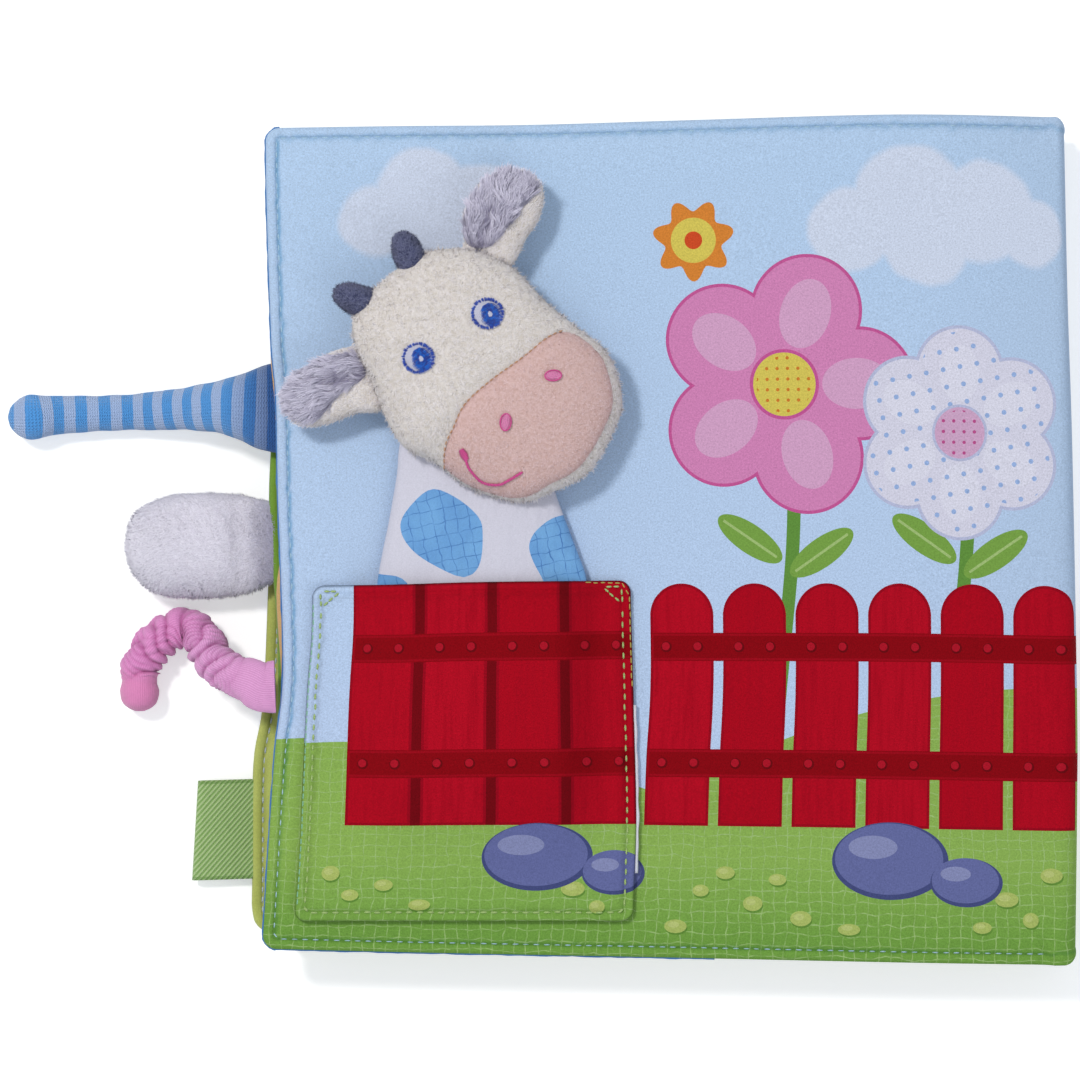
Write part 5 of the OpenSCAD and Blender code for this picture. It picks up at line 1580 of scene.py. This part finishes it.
# Curly tail: jersey gathered on a cord
def curly_look():
    k = Look("pink_jersey", rough=0.8, sheen=0.3, specular=0.2)
    s, a, depth = k.x, k.y, k.z
    rib = k.sin(a * 11.0)
    # painted shade and highlight: the jersey is darker in its creases and paler on its bulges, with darker
    # lines between the ribs
    base = k.mix(k.ramp(depth, -1.6, 0.1), "#B1609A", "#E3A5D4")
    base = k.mix(k.ramp(rib, -1, 1, 0.0, 0.4), base, "#BA6BA4")
    base = k.mix(k.ramp(s, 22, 36), base, k.mix(1.0, base, "#FFE6F4", "MULTIPLY"))
    base = k.mix(k.ramp(s, 50, 54, 0.0, 0.6), base, "#DB82AE")
    base, normal = cloth_grain(k, base, 0.05, 0.07, 2.6)
    return k.finish(base, k.bump(rib, 0.06, 0.7, normal))


def creases(s, seed, least, most):
    """Bulges between sharp creases at uneven places: 0 in a crease, up to 1 on a bulge."""
    rng = np.random.default_rng(seed)
    edge = np.cumsum(rng.uniform(least, most, 140)) - 8.0
    i = np.clip(np.searchsorted(edge, s) - 1, 0, len(edge) - 2)
    t = (s - edge[i]) / (edge[i + 1] - edge[i])
    return np.abs(np.sin(np.pi * np.clip(t, 0, 1))) ** 0.55 * rng.uniform(0.7, 1.0, 141)[i]


def gathers(s, a):
    s, a = np.broadcast_arrays(s, a)
    ramp = step01((s - 7) / 10) * 0.88 + 0.12
    ramp = ramp * (1 - 0.9 * step01((s - 51) / 3))
    wob = 1.7 * np.sin(a + 0.27 * s) + 0.8 * np.sin(2 * a - 0.23 * s) + 0.5 * np.sin(3 * a + s * 0.17)
    large = creases(s + wob, 7, 3.6, 6.2) * 1.7
    slant = creases(s - wob * 1.3 + 0.9 * np.sin(2 * a + 1.0), 9, 1.3, 2.6) * 0.75
    fine = creases(s + wob * 0.6, 15, 0.8, 1.4) * 0.25
    return (large + slant + fine - 2.0) * ramp


CURLY_X, CURLY_Y, r = -100.3, -36.8, 5.1
CURLY = [(1.2, 0, 22.2, 6.6, 1.2), (-2, 0, 22, 6.3, 1.4), (-5, 1.4, 20.8, 5.8, 2.2), (-10, 3.2, 16.8, r,
        r * 0.8), (-15, 6.6, 12.2, r, r),
         (-17.6, 11.4, 8.9, r, r), (-21.4, 14.8, 6.4, r, r), (-26.4, 13.4, 5.6, r, r), (-31, 9.2, 5.6, r,
                 r), (-33.8, 4.6, 5.4, r, r),
         (-34, 1.0, 5.2, 4.5, 4.5), (-34, -1.8, 5.2, 5.0, 5.0), (-34, -4.4, 5.2, 4.3, 4.3), (-34, -5.8, 5.2,
                 2.9, 2.9),
         (-34, -6.6, 5.2, 1.1, 1.1)]
pts, faces, flat = tube([(CURLY_X + a, CURLY_Y + b, c, d, e) for a, b, c, d, e in CURLY], 72, 0.19, gathers)
ob = make("curly_tail_jersey", pts, faces, curly_look(), flat)
put(ob, "back_cover", "curly_tail", slot="pink_jersey", fill=0.4, turned=True)


# Folded twill tab
def twill_look():
    k = Look("green_twill", rough=0.75, sheen=0.2, specular=0.25)
    x, y = k.x, k.y
    rib = k.sin((x + y * 0.85) * 4.8)
    yarn = k.sin((x * 0.6 - y) * 13.0)
    # painted shade and highlight: the twill is dark green in the hollows of its ribs and pale on their
    # ridges and yarns
    base = k.mix(k.ramp(rib, -1, 1), "#76A04E", "#B7CF94")
    base = k.mix(k.ramp(yarn, -1, 1, 0, 0.25), base, "#A4C07E")
    edge = k.less(k.abs(k.abs(y) - 12.1), 0.35)
    base = k.mix(edge * 0.5, base, "#5C8838")
    base, normal = cloth_grain(k, base, 0.05, 0.08, 3.0)
    return k.finish(base, k.bump(rib * 0.7 + yarn * 0.3, 0.16, 0.9, normal))


def tab():
    half, t, x_l, x_r, zc = 12.65, 0.6, -120.2, -103.6, 3.0
    r = 1.1 - t / 2
    line = [(x_r, r)]
    line += [(x, r + 0.12 * math.sin((x - x_r) * 0.3)) for x in np.linspace(x_r, x_l + 1.1, 12)[1:]]
    line += [(x_l + 1.1 - 1.0 * math.sin(a), r * math.cos(a)) for a in np.linspace(0, math.pi, 11)[1:-1]]
    line += [(x, -r) for x in np.linspace(x_l + 1.1, x_r, 12)]
    line, s = along(line, 0.5)
    way = np.gradient(line, axis=0)
    way /= np.linalg.norm(way, axis=1, keepdims=True)
    nrm = np.stack([-way[:, 1], way[:, 0]], 1)
    ys = np.linspace(-half, half, 44)

    def sheet(off):
        out = np.zeros((len(ys), len(line), 3))
        q = line + nrm * off
        for i, y in enumerate(ys):
            out[i, :, 0] = q[:, 0] + y * 0.06
            out[i, :, 1] = -73.3 + y + (q[:, 0] - x_r) * 0.03
            out[i, :, 2] = zc + q[:, 1] * (1 + 0.25 * step01((x_r - q[:, 0] - 3) / 8))
        return out

    up, dn = sheet(-t / 2 * 0.98), sheet(t / 2 * 0.98)
    pts, faces = shell(up, dn)
    f = np.stack(np.meshgrid(s, ys), -1).reshape(-1, 2)
    ob = make("tab_twill", pts, faces, twill_look(), np.concatenate([f, f]))
    put(ob, "front_cover", "label_tab", slot="green_twill", turned=True)


tab()
